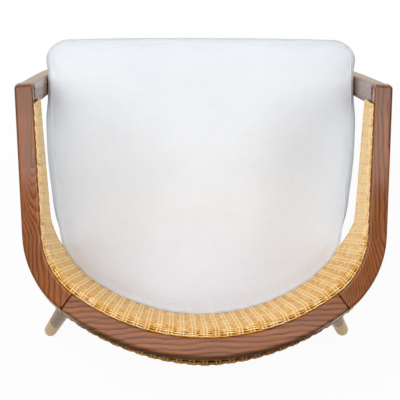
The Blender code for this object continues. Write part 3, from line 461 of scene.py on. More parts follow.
def woven_cotton(name, pale=(228, 232, 237), deep=(202, 207, 213), thread=0.0011):
    """Plain-woven cotton: crossing threads, slubs and soft cloudy shading, painted bluer towards the back
    for cooler light there.
    """
    f = Finish(name, Sheen_Weight=0.15, Sheen_Roughness=0.5)
    x, y, z = f.apart(f.place)
    wander = (f.noise(f.place, 40.0, 2.0) - 0.5) * 0.0006
    turn = 2 * math.pi / thread
    warp = ((x + wander) * turn).maths("SINE")
    weft = ((y + z * 0.7 + wander) * turn).maths("SINE")
    threads = (warp * weft) * 0.5 + 0.5
    slub_x = f.noise(f.joined(x * 30, y * 900, z * 900), 1.0, 3.0)
    slub_y = f.noise(f.joined(x * 900, y * 30, z * 30), 1.0, 3.0)
    slubs = f.step(slub_x, 0.5, 0.75) + f.step(slub_y, 0.55, 0.8)
    cloud = f.noise(f.place, 6.0, 3.0)
    shade = threads * 0.25 + slubs * 0.2 + f.step(cloud, 0.3, 0.8) * 0.25
    body = f.blend(shade, linear(*pale), linear(*deep))
    # Painted light: the cloth is tinted bluer towards the back, standing in for cooler light there
    body = f.blend(f.step(y, 0.0, 0.2), body, f.blend(1.0, body, (0.96, 1.02, 1.14), "MULTIPLY"))
    return f.surface(Base_Color=body, Roughness=0.8 + cloud * 0.12, bump=(threads + slubs * 0.8, 0.00018))


# Plan curves
def outward(turn):
    return np.stack([np.sin(turn), np.cos(turn)], -1)


def forward(turn):
    return np.stack([np.cos(turn), -np.sin(turn)], -1)


def smooth(low, high, value):
    share = np.clip((value - low) / (high - low), 0, 1)
    return share * share * (3 - 2 * share)


def mix(low, high, share):
    return low + (high - low) * share


class Track:
    """A plan curve from its apex at the back round the +X side, mirrored for negative distances."""

    def __init__(self, apex_y):
        self.runs = []
        self.length = 0.0
        self.start = np.array([0.0, apex_y])
        self.point = self.start
        self.turn = 0.0

    def arc(self, radius, end_turn):
        self.runs.append((self.length, radius * (end_turn - self.turn), self.turn, radius))
        self.length += radius * (end_turn - self.turn)
        self.point = self.point + radius * (outward(end_turn) - outward(self.turn))
        self.turn = end_turn
        return self

    def line(self, length):
        self.runs.append((self.length, length, self.turn, 0))
        self.length += length
        self.point = self.point + length * forward(self.turn)
        return self

    def trace(self, distance):
        """Points and turns at distances measured round the +X side."""
        distance = np.asarray(distance, float)
        turn = np.zeros_like(distance)
        point = np.zeros((*distance.shape, 2)) + self.start
        for start, length, first, radius in self.runs:
            last = start + length >= self.length - 1e-9
            along = np.clip(distance - start, 0, None if last else length)
            if radius:
                end = first + np.minimum(along, length) / radius
                point = point + radius * (outward(end) - outward(first))
                turn = np.where(distance > start, end, turn)
            else:
                point = point + along[..., None] * forward(first)
                turn = np.where(distance > start, first, turn)
        return point, turn

    def place(self, distance, out=0.0):
        point, turn = self.trace(np.abs(distance))
        point = point + np.asarray(out)[..., None] * outward(turn)
        return np.where(np.asarray(distance) < 0, -1, 1) * point[..., 0], point[..., 1]


RAIL = Track(BACK_APEX_Y).arc(BACK_RADIUS, SEAM_TURN).arc(CORNER_RADIUS, ARM_TURN)
ARM_START = RAIL.length
ARM_START_Y = RAIL.point[1]
ARM_END = ARM_START + (ARM_START_Y - ARM_FRONT_Y) / math.sin(ARM_TURN)
RAIL.line(ARM_END - ARM_START)

SEAT = Track(BACK_APEX_Y - SEAT_CLEARANCE).arc(SEAT_BACK_RADIUS, SEAT_BACK_TURN)
SEAT.arc(SEAT_CORNER_RADIUS, SEAT_CORNER_TURN).arc(SEAT_SIDE_RADIUS, SEAT_SIDE_TURN)
SEAT_CORNER_REACH = SEAT_FRONT_CORNER_RADIUS * (math.cos(SEAT_FRONT_BOW) + math.cos(SEAT_SIDE_TURN))
SEAT_BOW_DEPTH = SEAT.point[0] * math.tan(SEAT_FRONT_BOW / 2)
SEAT_LINE = SEAT.point[1] - SEAT_FRONT_Y - SEAT_CORNER_REACH - SEAT_BOW_DEPTH
SEAT.line(SEAT_LINE / math.sin(SEAT_SIDE_TURN))
SEAT.arc(SEAT_FRONT_CORNER_RADIUS, math.pi - SEAT_FRONT_BOW)
SEAT.arc(SEAT.point[0] / math.sin(SEAT_FRONT_BOW), math.pi)


def rail_top_z(y):
    return ARM_TOP_Z + (y - ARM_FRONT_Y) * math.tan(RAIL_RISE)


def rail_under_z(y):
    return rail_top_z(y) - RAIL_DEPTH / math.cos(RAIL_RISE)


def arm_distance_at_y(y):
    return ARM_START + (ARM_START_Y - y) / math.sin(ARM_TURN)


def post_back_y(z):
    return -FOOT_Y + z * math.tan(FRONT_RAKE) + POST_DEPTH / 2 / math.cos(FRONT_RAKE)


# The two woven layers
SWEEP_ARC_WIDE = EDGE_SWEEP_RADIUS * math.sin(EDGE_SWEEP_ANGLE)
SWEEP_ARC_HIGH = EDGE_SWEEP_RADIUS * (1 - math.cos(EDGE_SWEEP_ANGLE))
SWEEP_RISE = ARM_EDGE_Z - SHELL_BASE_Z
SWEEP_LINE_WIDE = (SWEEP_RISE / 2 - SWEEP_ARC_HIGH) / math.tan(EDGE_SWEEP_ANGLE)
SWEEP_MIDDLE = ARM_START + EDGE_SWEEP_PAST_CORNER
SWEEP_END = SWEEP_MIDDLE + SWEEP_LINE_WIDE + SWEEP_ARC_WIDE


def edge_z(distance):
    """Height of the shell's lower edge."""
    aside = np.abs(distance) - SWEEP_MIDDLE
    reach = np.minimum(np.abs(aside), SWEEP_LINE_WIDE + SWEEP_ARC_WIDE)
    short = np.clip(SWEEP_LINE_WIDE + SWEEP_ARC_WIDE - reach, 0, SWEEP_ARC_WIDE)
    sagitta = EDGE_SWEEP_RADIUS - np.sqrt(EDGE_SWEEP_RADIUS**2 - short**2)
    straight = reach * math.tan(EDGE_SWEEP_ANGLE)
    height = np.where(reach <= SWEEP_LINE_WIDE, straight, SWEEP_RISE / 2 - sagitta)
    return SHELL_BASE_Z + SWEEP_RISE / 2 + np.sign(aside) * height


def fitted_to_post(distance, z, lap=0.0):
    """Moves an arm's place so that the weave ends along the raked post, or laps its side by lap."""
    lower = np.clip((ARM_TOP_Z - z) / (ARM_TOP_Z - ARM_EDGE_Z), 0, 1)
    end = arm_distance_at_y(post_back_y(z) + GAP - lap * mix(TOP_LAP_SHARE, 1, lower))
    share = (np.abs(distance) - SWEEP_END) / (ARM_END - SWEEP_END)
    moved = np.where(share > 0, mix(SWEEP_END, end, share), np.abs(distance))
    return np.where(distance < 0, -1, 1) * moved


def bulge_share(turn):
    return 1 - smooth(BULGE_FULL_TURN, BULGE_END_TURN, turn)


def under_distance(distance):
    return fitted_to_post(distance, rail_under_z(RAIL.place(distance)[1]))


class Layer:
    """One woven layer: how far out its middle is at a height, and which way its threads face."""

    def __init__(self, name, facing):
        self.name = name
        self.facing = facing
        self.half = WEAVE_SWING + WEAVER_THICKNESS / 2

    def top_z(self, distance):
        turn = RAIL.trace(np.abs(distance))[1]
        if self.facing < 0:
            y = RAIL.place(under_distance(distance))[1]
            return rail_top_z(y) - mix(INNER_TOP_DROP_ARM, INNER_TOP_DROP_BACK, bulge_share(turn))
        out = self.widths(turn)[0]
        return rail_under_z(RAIL.place(under_distance(distance), out)[1]) - GAP - self.half / 2

    def widths(self, turn):
        """Out at the top, at the widest and at the foot."""
        rail_edge = RAIL_WIDTH + RAIL_DEPTH * math.sin(RAIL_RISE) * np.cos(turn)
        swell = OUTER_BULGE * np.clip(1 - turn / OUTER_BULGE_TURN, 0, 1) ** 2
        tucked = POLE_DIAMETER + 2 * GAP + SHELL_THICKNESS
        widest = mix(rail_edge + swell, tucked, smooth(TUCK_START_TURN, BULGE_END_TURN, turn))
        wrapped = max(POLE_DIAMETER, REAR_POST_DIAMETER) / 2 + REAR_POST_OUT
        foot = mix(POLE_DIAMETER, wrapped, bulge_share(turn)) + 2 * GAP + SHELL_THICKNESS
        high = np.minimum(widest, rail_edge - OUTER_TOP_INSET)
        return high - self.half, widest - self.half, foot - self.half

    def out(self, distance, z):
        turn = RAIL.trace(np.abs(distance))[1]
        top = self.top_z(distance)
        if self.facing < 0:
            share = 1 - (1 - np.clip((top - z) / INNER_ROLL_DEPTH, 0, 1)) ** INNER_ROLL_POWER
            lap = TOP_LAP * np.clip(1 - (top - z) / INNER_ROLL_DEPTH, 0, 1) ** TOP_LAP_POWER
            return lap - GAP - self.half - share * bulge_share(turn) * INNER_BULGE
        high, widest, foot = self.widths(turn)
        share = 1 - (1 - np.clip((top - z) / OUTER_ROLL_DEPTH, 0, 1)) ** OUTER_ROLL_POWER
        low = edge_z(distance)
        taper = 1 - (1 - np.clip((z - low) / (OUTER_TAPER_SHARE * (top - low)), 0, 1)) ** OUTER_TAPER_POWER
        return mix(high, widest, share) - (1 - taper) * (widest - foot)

    def point(self, distance, z):
        lap = FRONT_LAP * (self.facing < 0)
        x, y = RAIL.place(fitted_to_post(distance, z, lap), self.out(distance, z))
        return np.stack([x, y, z + np.zeros_like(x)], -1)

    def frame(self, distance, z):
        """Point, unit vectors downwards in the weave and out of its face."""
        here = self.point(distance, z)
        aside = self.point(distance + PROBE, z) - here
        down = self.point(distance, z - PROBE) - here
        down /= np.linalg.norm(down, axis=-1, keepdims=True)
        face = np.cross(aside, down)
        from_middle = here[..., :2] - (0, MIDDLE_Y)
        face *= np.sign((face[..., :2] * from_middle).sum(-1, keepdims=True))
        face *= self.facing / np.linalg.norm(face, axis=-1, keepdims=True)
        return here, down, face

    def row_z(self, distance, row):
        """Height of a row's middle. Over the roll the first rows have a pitch of their own."""
        top = self.top_z(distance)
        turn = RAIL.trace(np.abs(distance))[1]
        slope = np.sqrt(1 - ROLL_TILT * bulge_share(turn)) if self.facing < 0 else 1.0
        first = top - (np.minimum(row, ROLL_ROWS) + FIRST_ROW_DROP) * ROLL_ROW_PITCH * slope
        start_top = self.top_z(np.minimum(np.abs(distance), ARM_START))
        floor = SHELL_BASE_Z + WEAVER_WIDTH / 2 + top - start_top
        share = np.clip((row - ROLL_ROWS) / (ROWS - ROLL_ROWS), 0, 1)
        return mix(first, floor, share)


INNER = Layer("inner", -1)
OUTER = Layer("outer", 1)


# Modelling helpers
MERGE_GAP = 0.00002


def only(*objects):
    for other in bpy.context.view_layer.objects:
        other.select_set(other in objects)
    bpy.context.view_layer.objects.active = objects[0]


def edit(obj, mode="VERT"):
    only(obj)
    bpy.ops.object.mode_set(mode="EDIT")
    bpy.ops.mesh.select_mode(type=mode)


def done():
    bpy.ops.object.mode_set(mode="OBJECT")


def corners(obj, kind="co"):
    """The place of each vertex, or with "normal" the way that it faces."""
    found = np.empty(len(obj.data.vertices) * 3)
    obj.data.vertices.foreach_get(kind, found)
    return found.reshape(-1, 3)


def pick(obj, chosen):
    """Opens an object in edit mode with only the chosen vertices selected."""
    edit(obj)
    bpy.ops.mesh.select_all(action="DESELECT")
    done()
    obj.data.vertices.foreach_set("select", chosen)
    bpy.ops.object.mode_set(mode="EDIT")


def place_corners(obj, points):
    obj.data.vertices.foreach_set("co", np.ascontiguousarray(points).ravel())
    obj.data.update()


def keep(name, obj, look):
    """Names a finished piece, gives it its finish and puts it on the chair."""
    obj.name = name
    obj.data.name = name
    obj.data.materials.clear()
    obj.data.materials.append(look)
    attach(obj, BODY)
    return obj


def array(obj, count, offset, merge=True):
    """Repeats an object along a line, its touching ends joined where merge is set."""
    only(obj)
    made = obj.modifiers.new("repeat", "ARRAY")
    made.count = count
    made.use_relative_offset = False
    made.use_constant_offset = True
    made.constant_offset_displace = offset
    made.use_merge_vertices = merge
    made.merge_threshold = MERGE_GAP
    bpy.ops.object.modifier_apply(modifier="repeat")


def strand(length, cuts, width, thickness):
    """An open-ended strand along X from x = 0, cut into lengths."""
    place = {"location": (length / 2, 0, 0), "rotation": (0, math.pi / 2, 0)}
    bpy.ops.object.select_all(action="DESELECT")
    bpy.ops.mesh.primitive_cylinder_add(
        vertices=STRAND_SIDES, radius=0.5, depth=length, end_fill_type="NOTHING", **place
    )
    made = bpy.context.object
    bpy.ops.object.transform_apply(location=True, rotation=True, scale=True)
    edit(made, "EDGE")
    bpy.ops.mesh.select_all(action="DESELECT")
    done()
    for line in made.data.edges:
        ends = [made.data.vertices[number].co.x for number in line.vertices]
        line.select = bool(abs(ends[0] - ends[1]) > length / 2)
    bpy.ops.object.mode_set(mode="EDIT")
    bpy.ops.mesh.subdivide(number_cuts=cuts)
    bpy.ops.mesh.select_all(action="SELECT")
    bpy.ops.transform.resize(value=(1, width, thickness), center_override=(0, 0, 0))
    done()
    return made


def close_ends(obj):
    """Caps the cut ends of strands and turns every face outwards."""
    only(obj)
    bpy.ops.object.mode_set(mode="EDIT")
    bpy.ops.mesh.select_all(action="SELECT")
    bpy.ops.mesh.fill_holes(sides=STRAND_SIDES)
    bpy.ops.mesh.select_all(action="SELECT")
    bpy.ops.mesh.normals_make_consistent(inside=False)
    done()


def set_strand(obj, along, row, around, tone):
    """Stores where each vertex lies on its strand, which the cane finish reads."""
    laid = obj.data.attributes.new("strand", "FLOAT_VECTOR", "POINT")
    laid.data.foreach_set("vector", np.stack([along, row, around], -1).astype(np.float32).ravel())
    shade = obj.data.attributes.new("tone", "FLOAT", "POINT")
    shade.data.foreach_set("value", tone.astype(np.float32))


def strand_tones(seed, rows, along):
    """A tone for each place: each strand's own, drifting along it."""
    dice = np.random.default_rng(seed)
    own = dice.uniform(*TONE_RANGE, int(rows.max()) + 1)
    knots = np.linspace(along.min(), along.max() + 1e-6, TONE_KNOTS)
    drift = dice.uniform(-TONE_DRIFT, TONE_DRIFT, (int(rows.max()) + 1, len(knots)))
    place = (along - knots[0]) / (knots[1] - knots[0])
    low = np.clip(place.astype(int), 0, len(knots) - 2)
    share = place - low
    rows = rows.astype(int)
    return own[rows] + mix(drift[rows, low], drift[rows, low + 1], share)


# Weavers: the two strands of a twined row are modelled over two pairs of stakes, repeated flat, then laid
CELL = 2 * ARM_END / STAKE_CELLS


def flat_rows(count):
    """Rows lying flat in the XY plane, each of two strands that swing to either side of the stakes."""
    quarter = CELL / 4
    first = strand(2 * CELL, CELL_QUARTERS - 1, WEAVER_WIDTH, WEAVER_THICKNESS)
    for step in range(CELL_QUARTERS + 1):
        beside = (0, STAKE_SPREAD - quarter, 0, quarter - STAKE_SPREAD)[step % 4]
        swing = (WEAVE_DIP, WEAVE_SWING, 0, WEAVE_SWING)[step % 4]
        sign = math.cos(math.pi * step / 4)
        lift = TWINE_LIFT * math.sin(math.pi * step / 4)
        pick(first, np.abs(corners(first)[:, 0] - step * quarter) < quarter / 9)
        bpy.ops.transform.translate(value=(beside, lift, math.copysign(swing, sign)))
        done()
    second = first.copy()
    second.data = first.data.copy()
    bpy.context.scene.collection.objects.link(second)
    edit(second)
    bpy.ops.mesh.select_all(action="SELECT")
    bpy.ops.transform.rotate(value=math.pi, orient_axis="X", center_override=(0, 0, 0))
    bpy.ops.transform.translate(value=(0, ROW_LAID / 2, 0))
    done()
    only(first, second)
    bpy.ops.object.join()
    array(first, STAKE_CELLS // 2, (2 * CELL, 0, 0))
    array(first, count, (0, ROW_LAID, 0), merge=False)
    return first


def row_limits(layer, rows):
    """How far along the rail each row runs before it meets the shell's lower edge."""
    along = np.linspace(0, ARM_END, EDGE_STOPS)
    limits = []
    for row in rows:
        under = layer.row_z(along, np.full_like(along, row)) < edge_z(along) + ROW_EDGE_GAP
        hit = np.flatnonzero(under)
        limits.append(along[hit[0]] if len(hit) else ARM_END)
    return np.array(limits)


def lay_rows(name, layer, first_row, count, look, seed):
    """Bends flat rows onto a layer and cuts them off along its lower edge."""
    obj = flat_rows(count)
    flat = corners(obj)
    along = flat[:, 0] - ARM_END
    number = np.round(flat[:, 1] / ROW_LAID * 2)
    across = flat[:, 1] - number * ROW_LAID / 2
    row = number // 2
    across *= mix(ROLL_NARROWER, WALL_WIDER, np.clip((row + first_row - NARROW_ROWS) / ROLL_ROWS, 0, 1))
    limits = row_limits(layer, np.arange(first_row, first_row + int(row.max()) + 1))[row.astype(int)]
    gone = np.abs(along) - limits > CELL / 4
    along = np.sign(along) * np.minimum(np.abs(along), limits)
    row_number = row + first_row
    # Painted light: rows on the arms are drawn paler, standing in for the stronger grazing light that falls
    # on them
    arm = [ARM_START * share for share in ARM_PAINTED_LIGHT_SHARES]
    tone = strand_tones(seed, number, along) - ARM_PAINTED_LIGHT * smooth(*arm, np.abs(along))
    wobble = strand_tones(seed + 1, row, along) - 0.5
    here, down, face = layer.frame(along, layer.row_z(along, row_number))
    place_corners(obj, here + down * (across + wobble * ROW_WOBBLE)[:, None] + face * flat[:, 2:3])
    set_strand(obj, along, number + 2 * first_row, flat[:, 2] * 1000, tone)
    pick(obj, gone)
    bpy.ops.mesh.delete(type="VERT")
    done()
    close_ends(obj)
    obj.data.shade_smooth()
    return keep(name, obj, look)


def lay_stakes(name, layer, look, seed):
    """Upright stakes in pairs, from the rail down to the lower edge."""
    obj = strand(1.0, STAKE_CUTS, STAKE_DIAMETER, STAKE_DIAMETER)
    array(obj, 2, (0, 2 * STAKE_SPREAD, 0), merge=False)
    array(obj, STAKE_CELLS + 1, (0, CELL, 0), merge=False)
    flat = corners(obj)
    stake = np.round((flat[:, 1] - STAKE_SPREAD) / CELL)
    aside = flat[:, 1] - stake * CELL - STAKE_SPREAD
    limit = ARM_END - STAKE_SPREAD * STAKE_END_ROOM
    base = np.clip(stake * CELL - ARM_END, -limit, limit)
    along = base + aside
    share = flat[:, 0]
    top = layer.top_z(base) - STAKE_TOP_DROP
    low = edge_z(base) + STAKE_FOOT_LIFT
    here, down, face = layer.frame(along, mix(top, low, share))
    place_corners(obj, here + face * flat[:, 2:3])
    number = 2 * stake + (aside > 0)
    around = np.arctan2(flat[:, 2], aside)
    set_strand(obj, share * STAKE_FIBRE_LENGTH, number, around, strand_tones(seed, number, share))
    close_ends(obj)
    obj.data.shade_smooth()
    return keep(name, obj, look)


def lay_edge_twist(name, layer, look, seed):
    """Strands twisted together along the shell's lower edge."""
    along = np.linspace(-ARM_END, ARM_END, TWIST_STOPS)
    path, down, face = layer.frame(along, edge_z(along) + TWIST_LIFT)
    lengths = np.concatenate([[0], np.cumsum(np.linalg.norm(np.diff(path, axis=0), axis=1))])
    total = lengths[-1]
    obj = strand(total, int(total / TWIST_CUT) - 1, TWIST_DIAMETER, TWIST_DIAMETER)
    array(obj, TWIST_STRANDS, (0, TWIST_LAID, 0), merge=False)
    flat = corners(obj)
    number = np.round(flat[:, 1] / TWIST_LAID)
    angle = 2 * math.pi * (flat[:, 0] / TWIST_PITCH + number / TWIST_STRANDS)
    across = flat[:, 1] - number * TWIST_LAID + TWIST_RADIUS
    side = across * np.cos(angle) - flat[:, 2] * np.sin(angle)
    high = across * np.sin(angle) + flat[:, 2] * np.cos(angle)
    tangent = np.gradient(path, axis=0)
    tangent /= np.linalg.norm(tangent, axis=1, keepdims=True)
    level = np.cross(face, tangent)

    def at(values):
        return np.stack([np.interp(flat[:, 0], lengths, values[:, axis]) for axis in range(3)], -1)

    place_corners(obj, at(path) + at(face) * side[:, None] + at(level) * high[:, None])
    set_strand(obj, flat[:, 0], number, angle, strand_tones(seed, number, flat[:, 0]))
    close_ends(obj)
    obj.data.shade_smooth()
    return keep(name, obj, look)


# Cushion
def cushion_outline(inset, count, upper):
    """Plan points round the seat, moved inward, and drawn in beside the front posts.

    The back is pushed out against the weave, and there the upper half isn't moved inward.
    """
    along = np.linspace(-SEAT.length, SEAT.length, count, endpoint=False)
    x, y = SEAT.place(along)
    pressed = smooth(*CUSHION_PRESS_Y, y)
    stops = np.linspace(-ARM_END, ARM_END, CUSHION_WALL_STOPS)
    wall_x, wall_y = RAIL.place(stops, INNER.out(stops, CUSHION_BASE_Z + CUSHION_EDGE) - INNER.half)
    room = np.hypot(x[:, None] - wall_x, y[:, None] - wall_y).min(1) - CUSHION_WALL_CLEARANCE
    x, y = SEAT.place(along, np.clip(room, 0, CUSHION_PRESS) * pressed - inset * (1 - upper * pressed))
    post_top = rail_under_z(ARM_FRONT_Y)
    under_y = -FOOT_Y + post_top * math.tan(FRONT_RAKE)
    foot_x = RAIL.place(arm_distance_at_y(under_y), RAIL_WIDTH / 2)[0]
    post_y = -FOOT_Y + (CUSHION_BASE_Z + CUSHION_EDGE / 2) * math.tan(FRONT_RAKE)
    limit = foot_x - POST_WIDTH / 2 - CUSHION_POST_CLEARANCE - inset * CUSHION_POST_INSET_SHARE
    near = 1 - smooth(POST_DEPTH / 2, POST_DEPTH / 2 + CUSHION_PINCH_LENGTH, np.abs(y - post_y))
    excess = np.clip(np.abs(x) - limit, 0, None)
    return x - np.sign(x) * excess * near, y


def seat_cushion(look):
    """A boxed cushion, blown up a little as cloth, with its top and bottom seams sewn after."""
    points = []
    faces = []
    count = CUSHION_POINTS
    for inset, height in CUSHION_RINGS:
        x, y = cushion_outline(inset, count, height > CUSHION_EDGE / 2)
        points += [(a, b, CUSHION_BASE_Z + height) for a, b in zip(x, y)]
    middle_y = (SEAT_FRONT_Y + SEAT.start[1]) / 2
    top_z = CUSHION_BASE_Z + height
    for share in CROWN_SHARES:
        lift = (CUSHION_CROWN - CROWN_AIR_ROOM) * (1 - share**CROWN_POWER)
        points += [(a * share, middle_y + (b - middle_y) * share, top_z + lift) for a, b in zip(x, y)]
    rings = len(points) // count
    for ring in range(rings - 1):
        for place in range(count):
            after = (place + 1) % count
            low, high = ring * count, (ring + 1) * count
            faces.append((low + place, low + after, high + after, high + place))
    faces.append(tuple(range((rings - 1) * count, rings * count)))
    faces.append(tuple(reversed(range(count))))
    mesh = bpy.data.meshes.new("cushion_cover")
    mesh.from_pydata(points, [], faces)
    obj = bpy.data.objects.new("cushion_cover", mesh)
    bpy.context.scene.collection.objects.link(obj)
    edit(obj)
    bpy.ops.mesh.select_all(action="SELECT")
    bpy.ops.mesh.normals_make_consistent(inside=False)
    done()
    remesh = obj.modifiers.new("remesh", "REMESH")
    remesh.mode = "VOXEL"
    remesh.voxel_size = CUSHION_VOXEL
    bpy.ops.object.modifier_apply(modifier="remesh")
    relax = obj.modifiers.new("relax", "SMOOTH")
    relax.iterations = 2
    relax.factor = 0.5
    bpy.ops.object.modifier_apply(modifier="relax")
    blow_up(obj)
    fine = obj.modifiers.new("fine", "SUBSURF")
    fine.levels = 1
    fine.render_levels = 1
    bpy.ops.object.modifier_apply(modifier="fine")
    obj.data.shade_smooth()
    keep("cushion_cover", obj, look)
    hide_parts("seat_cushion")
    return obj


def blow_up(obj):
    """Runs the cover as cloth with air in it, and lets no point move further than AIR_MOST."""
    scene = bpy.context.scene
    before = corners(obj)
    normals = corners(obj, "normal")
    cloth = obj.modifiers.new("cloth", "CLOTH")
    cloth.settings.use_pressure = True
    cloth.settings.uniform_pressure_force = 4.0
    cloth.settings.effector_weights.gravity = 0.0
    cloth.settings.quality = 5
    cloth.settings.tension_stiffness = 12
    cloth.settings.bending_stiffness = 0.4
    cloth.collision_settings.use_collision = False
    for number in range(1, AIR_FRAMES + 1):
        scene.frame_set(number)
    after = corners(obj.evaluated_get(bpy.context.evaluated_depsgraph_get()))
    obj.modifiers.remove(cloth)
    scene.frame_set(1)
    moved = after - before
    shrunk = np.minimum((moved * normals).sum(1), 0)
    moved -= normals * shrunk[:, None]
    length = np.linalg.norm(moved, axis=1, keepdims=True)
    moved *= np.minimum(1, AIR_MOST / np.maximum(length, 1e-9))
    after = before + moved
    after[:, 2] = np.maximum(after[:, 2], CUSHION_BASE_Z + CUSHION_BASE_ROOM)
    place_corners(obj, after)


def cushion_seam(name, cover, seam, look):
    """A sewn ridge laid on the cover along the outline, at a seam's (inset, height)."""
    inset, height = seam
    x, y = cushion_outline(inset, SEAM_POINTS, height > CUSHION_EDGE / 2)
    tree = BVHTree.FromObject(cover, bpy.context.evaluated_depsgraph_get())
    path = [tree.find_nearest(Vector((a, b, CUSHION_BASE_Z + height)))[0] for a, b in zip(x, y)]
    curve = bpy.data.curves.new(name, "CURVE")
    curve.dimensions = "3D"
    line = curve.splines.new("POLY")
    line.points.add(len(path) - 1)
    for spot, point in zip(line.points, path):
        spot.co = (*point, 1)
    line.use_cyclic_u = True
    curve.bevel_depth = SEAM_RADIUS
    curve.bevel_resolution = 2
    obj = bpy.data.objects.new(name, curve)
    bpy.context.scene.collection.objects.link(obj)
    only(obj)
    bpy.ops.object.convert(target="MESH")
    obj = bpy.context.object
    obj.data.shade_smooth()
    return keep(name, obj, look)


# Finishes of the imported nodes
def starting(*words):
    return [name for name in frame["nodes"] if name.startswith(words)]


def dress(nodes, look):
    for name in nodes:
        obj = frame["nodes"][name]
        obj.data.materials.clear()
        obj.data.materials.append(look)


def dress_frame():
    back = rail_grain((0, 0.2), (1, 0.035), 0.8, (0.3, 0.5, 0.0), (0.6, 0.6))
    dress(["back_rail"], stained_ash("ash_back_rail", back, (146, 90, 54), (80, 46, 28), seam=True))
    left = rail_grain((0.2620, 0.05), (0, -1), 1.0, (-0.02, 0.09, -0.045), (4, 130))
    dress(["arm_rail_left"], stained_ash("ash_arm_left", left, rings_per_metre=170, seam=True))
    right = rail_grain((-0.264, 0.05), (0.06, 1), -0.8, (0.02, 0.12, 0.036), (18, 10))
    dress(["arm_rail_right"], stained_ash("ash_arm_right", right, seam=True))
    dress(starting("front_leg", "rear_leg"), stained_ash("ash_legs", leg_grain))
    hardwood = plain_wood("frame_hardwood", (206, 172, 126), (168, 128, 86))
    dress(starting("seat_rail", "corner_block", "frame_dowel", "seam_dowel"), hardwood)
    dress(["seat_board"], plywood_face("board_plywood"))
    dress(starting("ferrule"), brushed_metal("satin_brass", (255, 243, 204), (238, 200, 134), 0.34))
    zinc = brushed_metal("zinc_plate", (200, 202, 205), (160, 162, 168), 0.3)
    dress(starting("leg_bolt", "board_screw"), zinc)
    dress(starting("glide"), moulded_nylon("glide_nylon"))
    dress(starting("shell_"), rattan_skin("rattan_pole_skin"))


def weave_shell():
    # The inner cane's fourth colour is its dark fibres and also the painted shade behind the stakes; its
    # fifth is the painted highlight over them
    inner = peeled_cane("peeled_cane", (250, 220, 166), (218, 152, 40), (176, 96, 28), (252, 226, 166))
    # Painted shade: the outer layer is the same cane as the inner one, in darker colours that stand in for
    # the shade it lies in under the rail
    outer = peeled_cane("cane_in_painted_shade", (224, 172, 96), (180, 114, 34), (104, 54, 16), (228, 180, 108))
    stakes = peeled_cane("stake_cane", (244, 218, 164), (226, 182, 108), (160, 106, 50))
    for number, (layer, cane) in enumerate(((INNER, inner), (OUTER, outer))):
        seed = 10 * number + 3
        for band, first in enumerate(range(0, ROWS, BAND_ROWS), 1):
            rows = min(BAND_ROWS, ROWS - first)
            laid = lay_rows(f"weave_{layer.name}_{band}", layer, first, rows, cane, seed + band)
            if band == 1:
                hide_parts(f"cane_{layer.name}")
        lay_stakes(f"stakes_{layer.name}", layer, stakes, seed + 5)
        lay_edge_twist(f"edge_twist_{layer.name}", layer, stakes, seed + 6)


# Light, floor and camera
CAMERA_PLACE = (0.045, 0.051, 2.6)
CAMERA_AHEAD = (-0.0200, -0.0198, -1)
CAMERA_LENS = 113.5
CAMERA_SENSOR = 36
FLOOR_SIZE = 7
FLOOR_GREY = 0.6
FLOOR_GLOW = 1.06
FLOOR_GLOW_SHARE = 0.88
FLOOR_MIRRORED_SHARE = 0.9


def softbox(name, place, aim, size, size_y, power, mirrored=True):
    lamp = bpy.data.lights.new(name, "AREA")
    lamp.shape = "RECTANGLE"
    lamp.size = size
    lamp.size_y = size_y
    lamp.energy = power
    obj = bpy.data.objects.new(name, lamp)
    bpy.context.scene.collection.objects.link(obj)
    obj.location = place
    obj.rotation_euler = (Vector(aim) - Vector(place)).to_track_quat("-Z", "Y").to_euler()
    obj.visible_glossy = mirrored


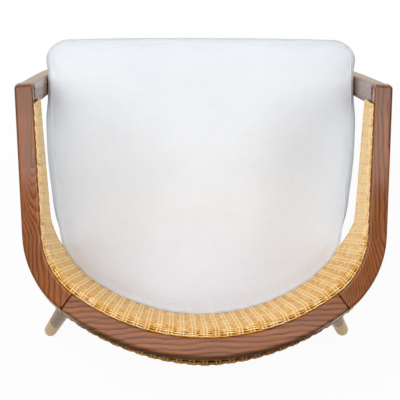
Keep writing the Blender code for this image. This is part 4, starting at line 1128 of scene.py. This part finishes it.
def studio():
    """White all round to the camera, and dimmer to the chair, with lamps above and a pale floor."""
    scene = bpy.context.scene
    scene.view_settings.view_transform = "Standard"
    world = bpy.data.worlds.new("studio")
    scene.world = world
    world.use_nodes = True
    sky = Shading(world.node_tree)
    x, y, z = sky.apart(sky.node("TexCoord"))
    behind = sky.step(y, -0.35, 0.35) * (1 - sky.step(z, 0.25, 0.75))
    rays = sky.tree.nodes.new("ShaderNodeLightPath")
    lit = sky.either(behind, sky.light(0.25), sky.light(0.05))
    lit = sky.either(Tone(sky, rays.outputs["Is Glossy Ray"]), lit, sky.light(0.10))
    lit = sky.either(Tone(sky, rays.outputs["Is Camera Ray"]), lit, sky.light(1.0))
    sky.tree.links.new(lit.socket, sky.tree.nodes["World Output"].inputs[0])

    softbox("key", (1.6, -0.6, 2.4), (0.0, 0.0, 0.5), 1.5, 1.2, 16, mirrored=False)
    softbox("right_box", (-1.6, -0.6, 2.4), (0.0, 0.0, 0.5), 1.2, 1.0, 14, mirrored=False)
    softbox("front_box", (0.1, -1.44, 2.42), (0.1, -0.04, 0.7), 3.0, 0.62, 16)
    softbox("top_box", (0.0, -0.6, 2.6), (0.0, -0.6, 0.0), 1.3, 0.3, 1.8)
    softbox("overhead", (0.45, -0.3, 3.0), (0.2, 0.0, 0.5), 1.2, 1.2, 30, mirrored=False)

    bpy.ops.object.select_all(action="DESELECT")
    bpy.ops.mesh.primitive_plane_add(size=FLOOR_SIZE, location=(0, 0, 0))
    floor = bpy.context.object
    floor.name = "floor"
    f = Finish("pale_floor", Roughness=0.9)
    f.shader.inputs["Base Color"].default_value = (FLOOR_GREY, FLOOR_GREY, FLOOR_GREY, 1)
    glow = f.node("Emission", None, (1, 1, 1, 1), FLOOR_GLOW)
    rays = f.tree.nodes.new("ShaderNodeLightPath")
    shared = Tone(f, rays.outputs["Is Camera Ray"]) * FLOOR_GLOW_SHARE
    seen = f.either(shared, Tone(f, f.shader.outputs[0]), glow)
    # Painted reflection: to glossy rays the floor glows warm, bright in front and nearly dark behind
    mirrored = f.step(f.apart(f.place)[1], 0.33, 0.46, 0.75, 0.02)
    mirrored = f.node("Emission", None, (1, 0.88, 0.74, 1), mirrored)
    seen = f.either(Tone(f, rays.outputs["Is Glossy Ray"]) * FLOOR_MIRRORED_SHARE, seen, mirrored)
    f.tree.links.new(seen.socket, f.tree.nodes["Material Output"].inputs[0])
    floor.data.materials.append(f.material)


def camera():
    """Looks down from above the chair's middle, tilted a little, as the photo does."""
    lens = bpy.data.cameras.new("overhead")
    lens.sensor_width = CAMERA_SENSOR
    lens.lens = CAMERA_LENS
    obj = bpy.data.objects.new("overhead", lens)
    bpy.context.scene.collection.objects.link(obj)
    ahead = Vector(CAMERA_AHEAD).normalized()
    right = ahead.cross(Vector((0, -1, 0))).normalized()
    up = right.cross(ahead)
    turned = Matrix((right, up, -ahead)).transposed().to_4x4()
    turned.translation = Vector(CAMERA_PLACE)
    obj.matrix_world = turned
    bpy.context.scene.camera = obj


camera()
studio()
dress_frame()
weave_shell()
cotton = woven_cotton("cushion_cotton")
cover = seat_cushion(cotton)
cushion_seam("cushion_seam_top", cover, TOP_SEAM, cotton)
cushion_seam("cushion_seam_base", cover, BASE_SEAM, cotton)
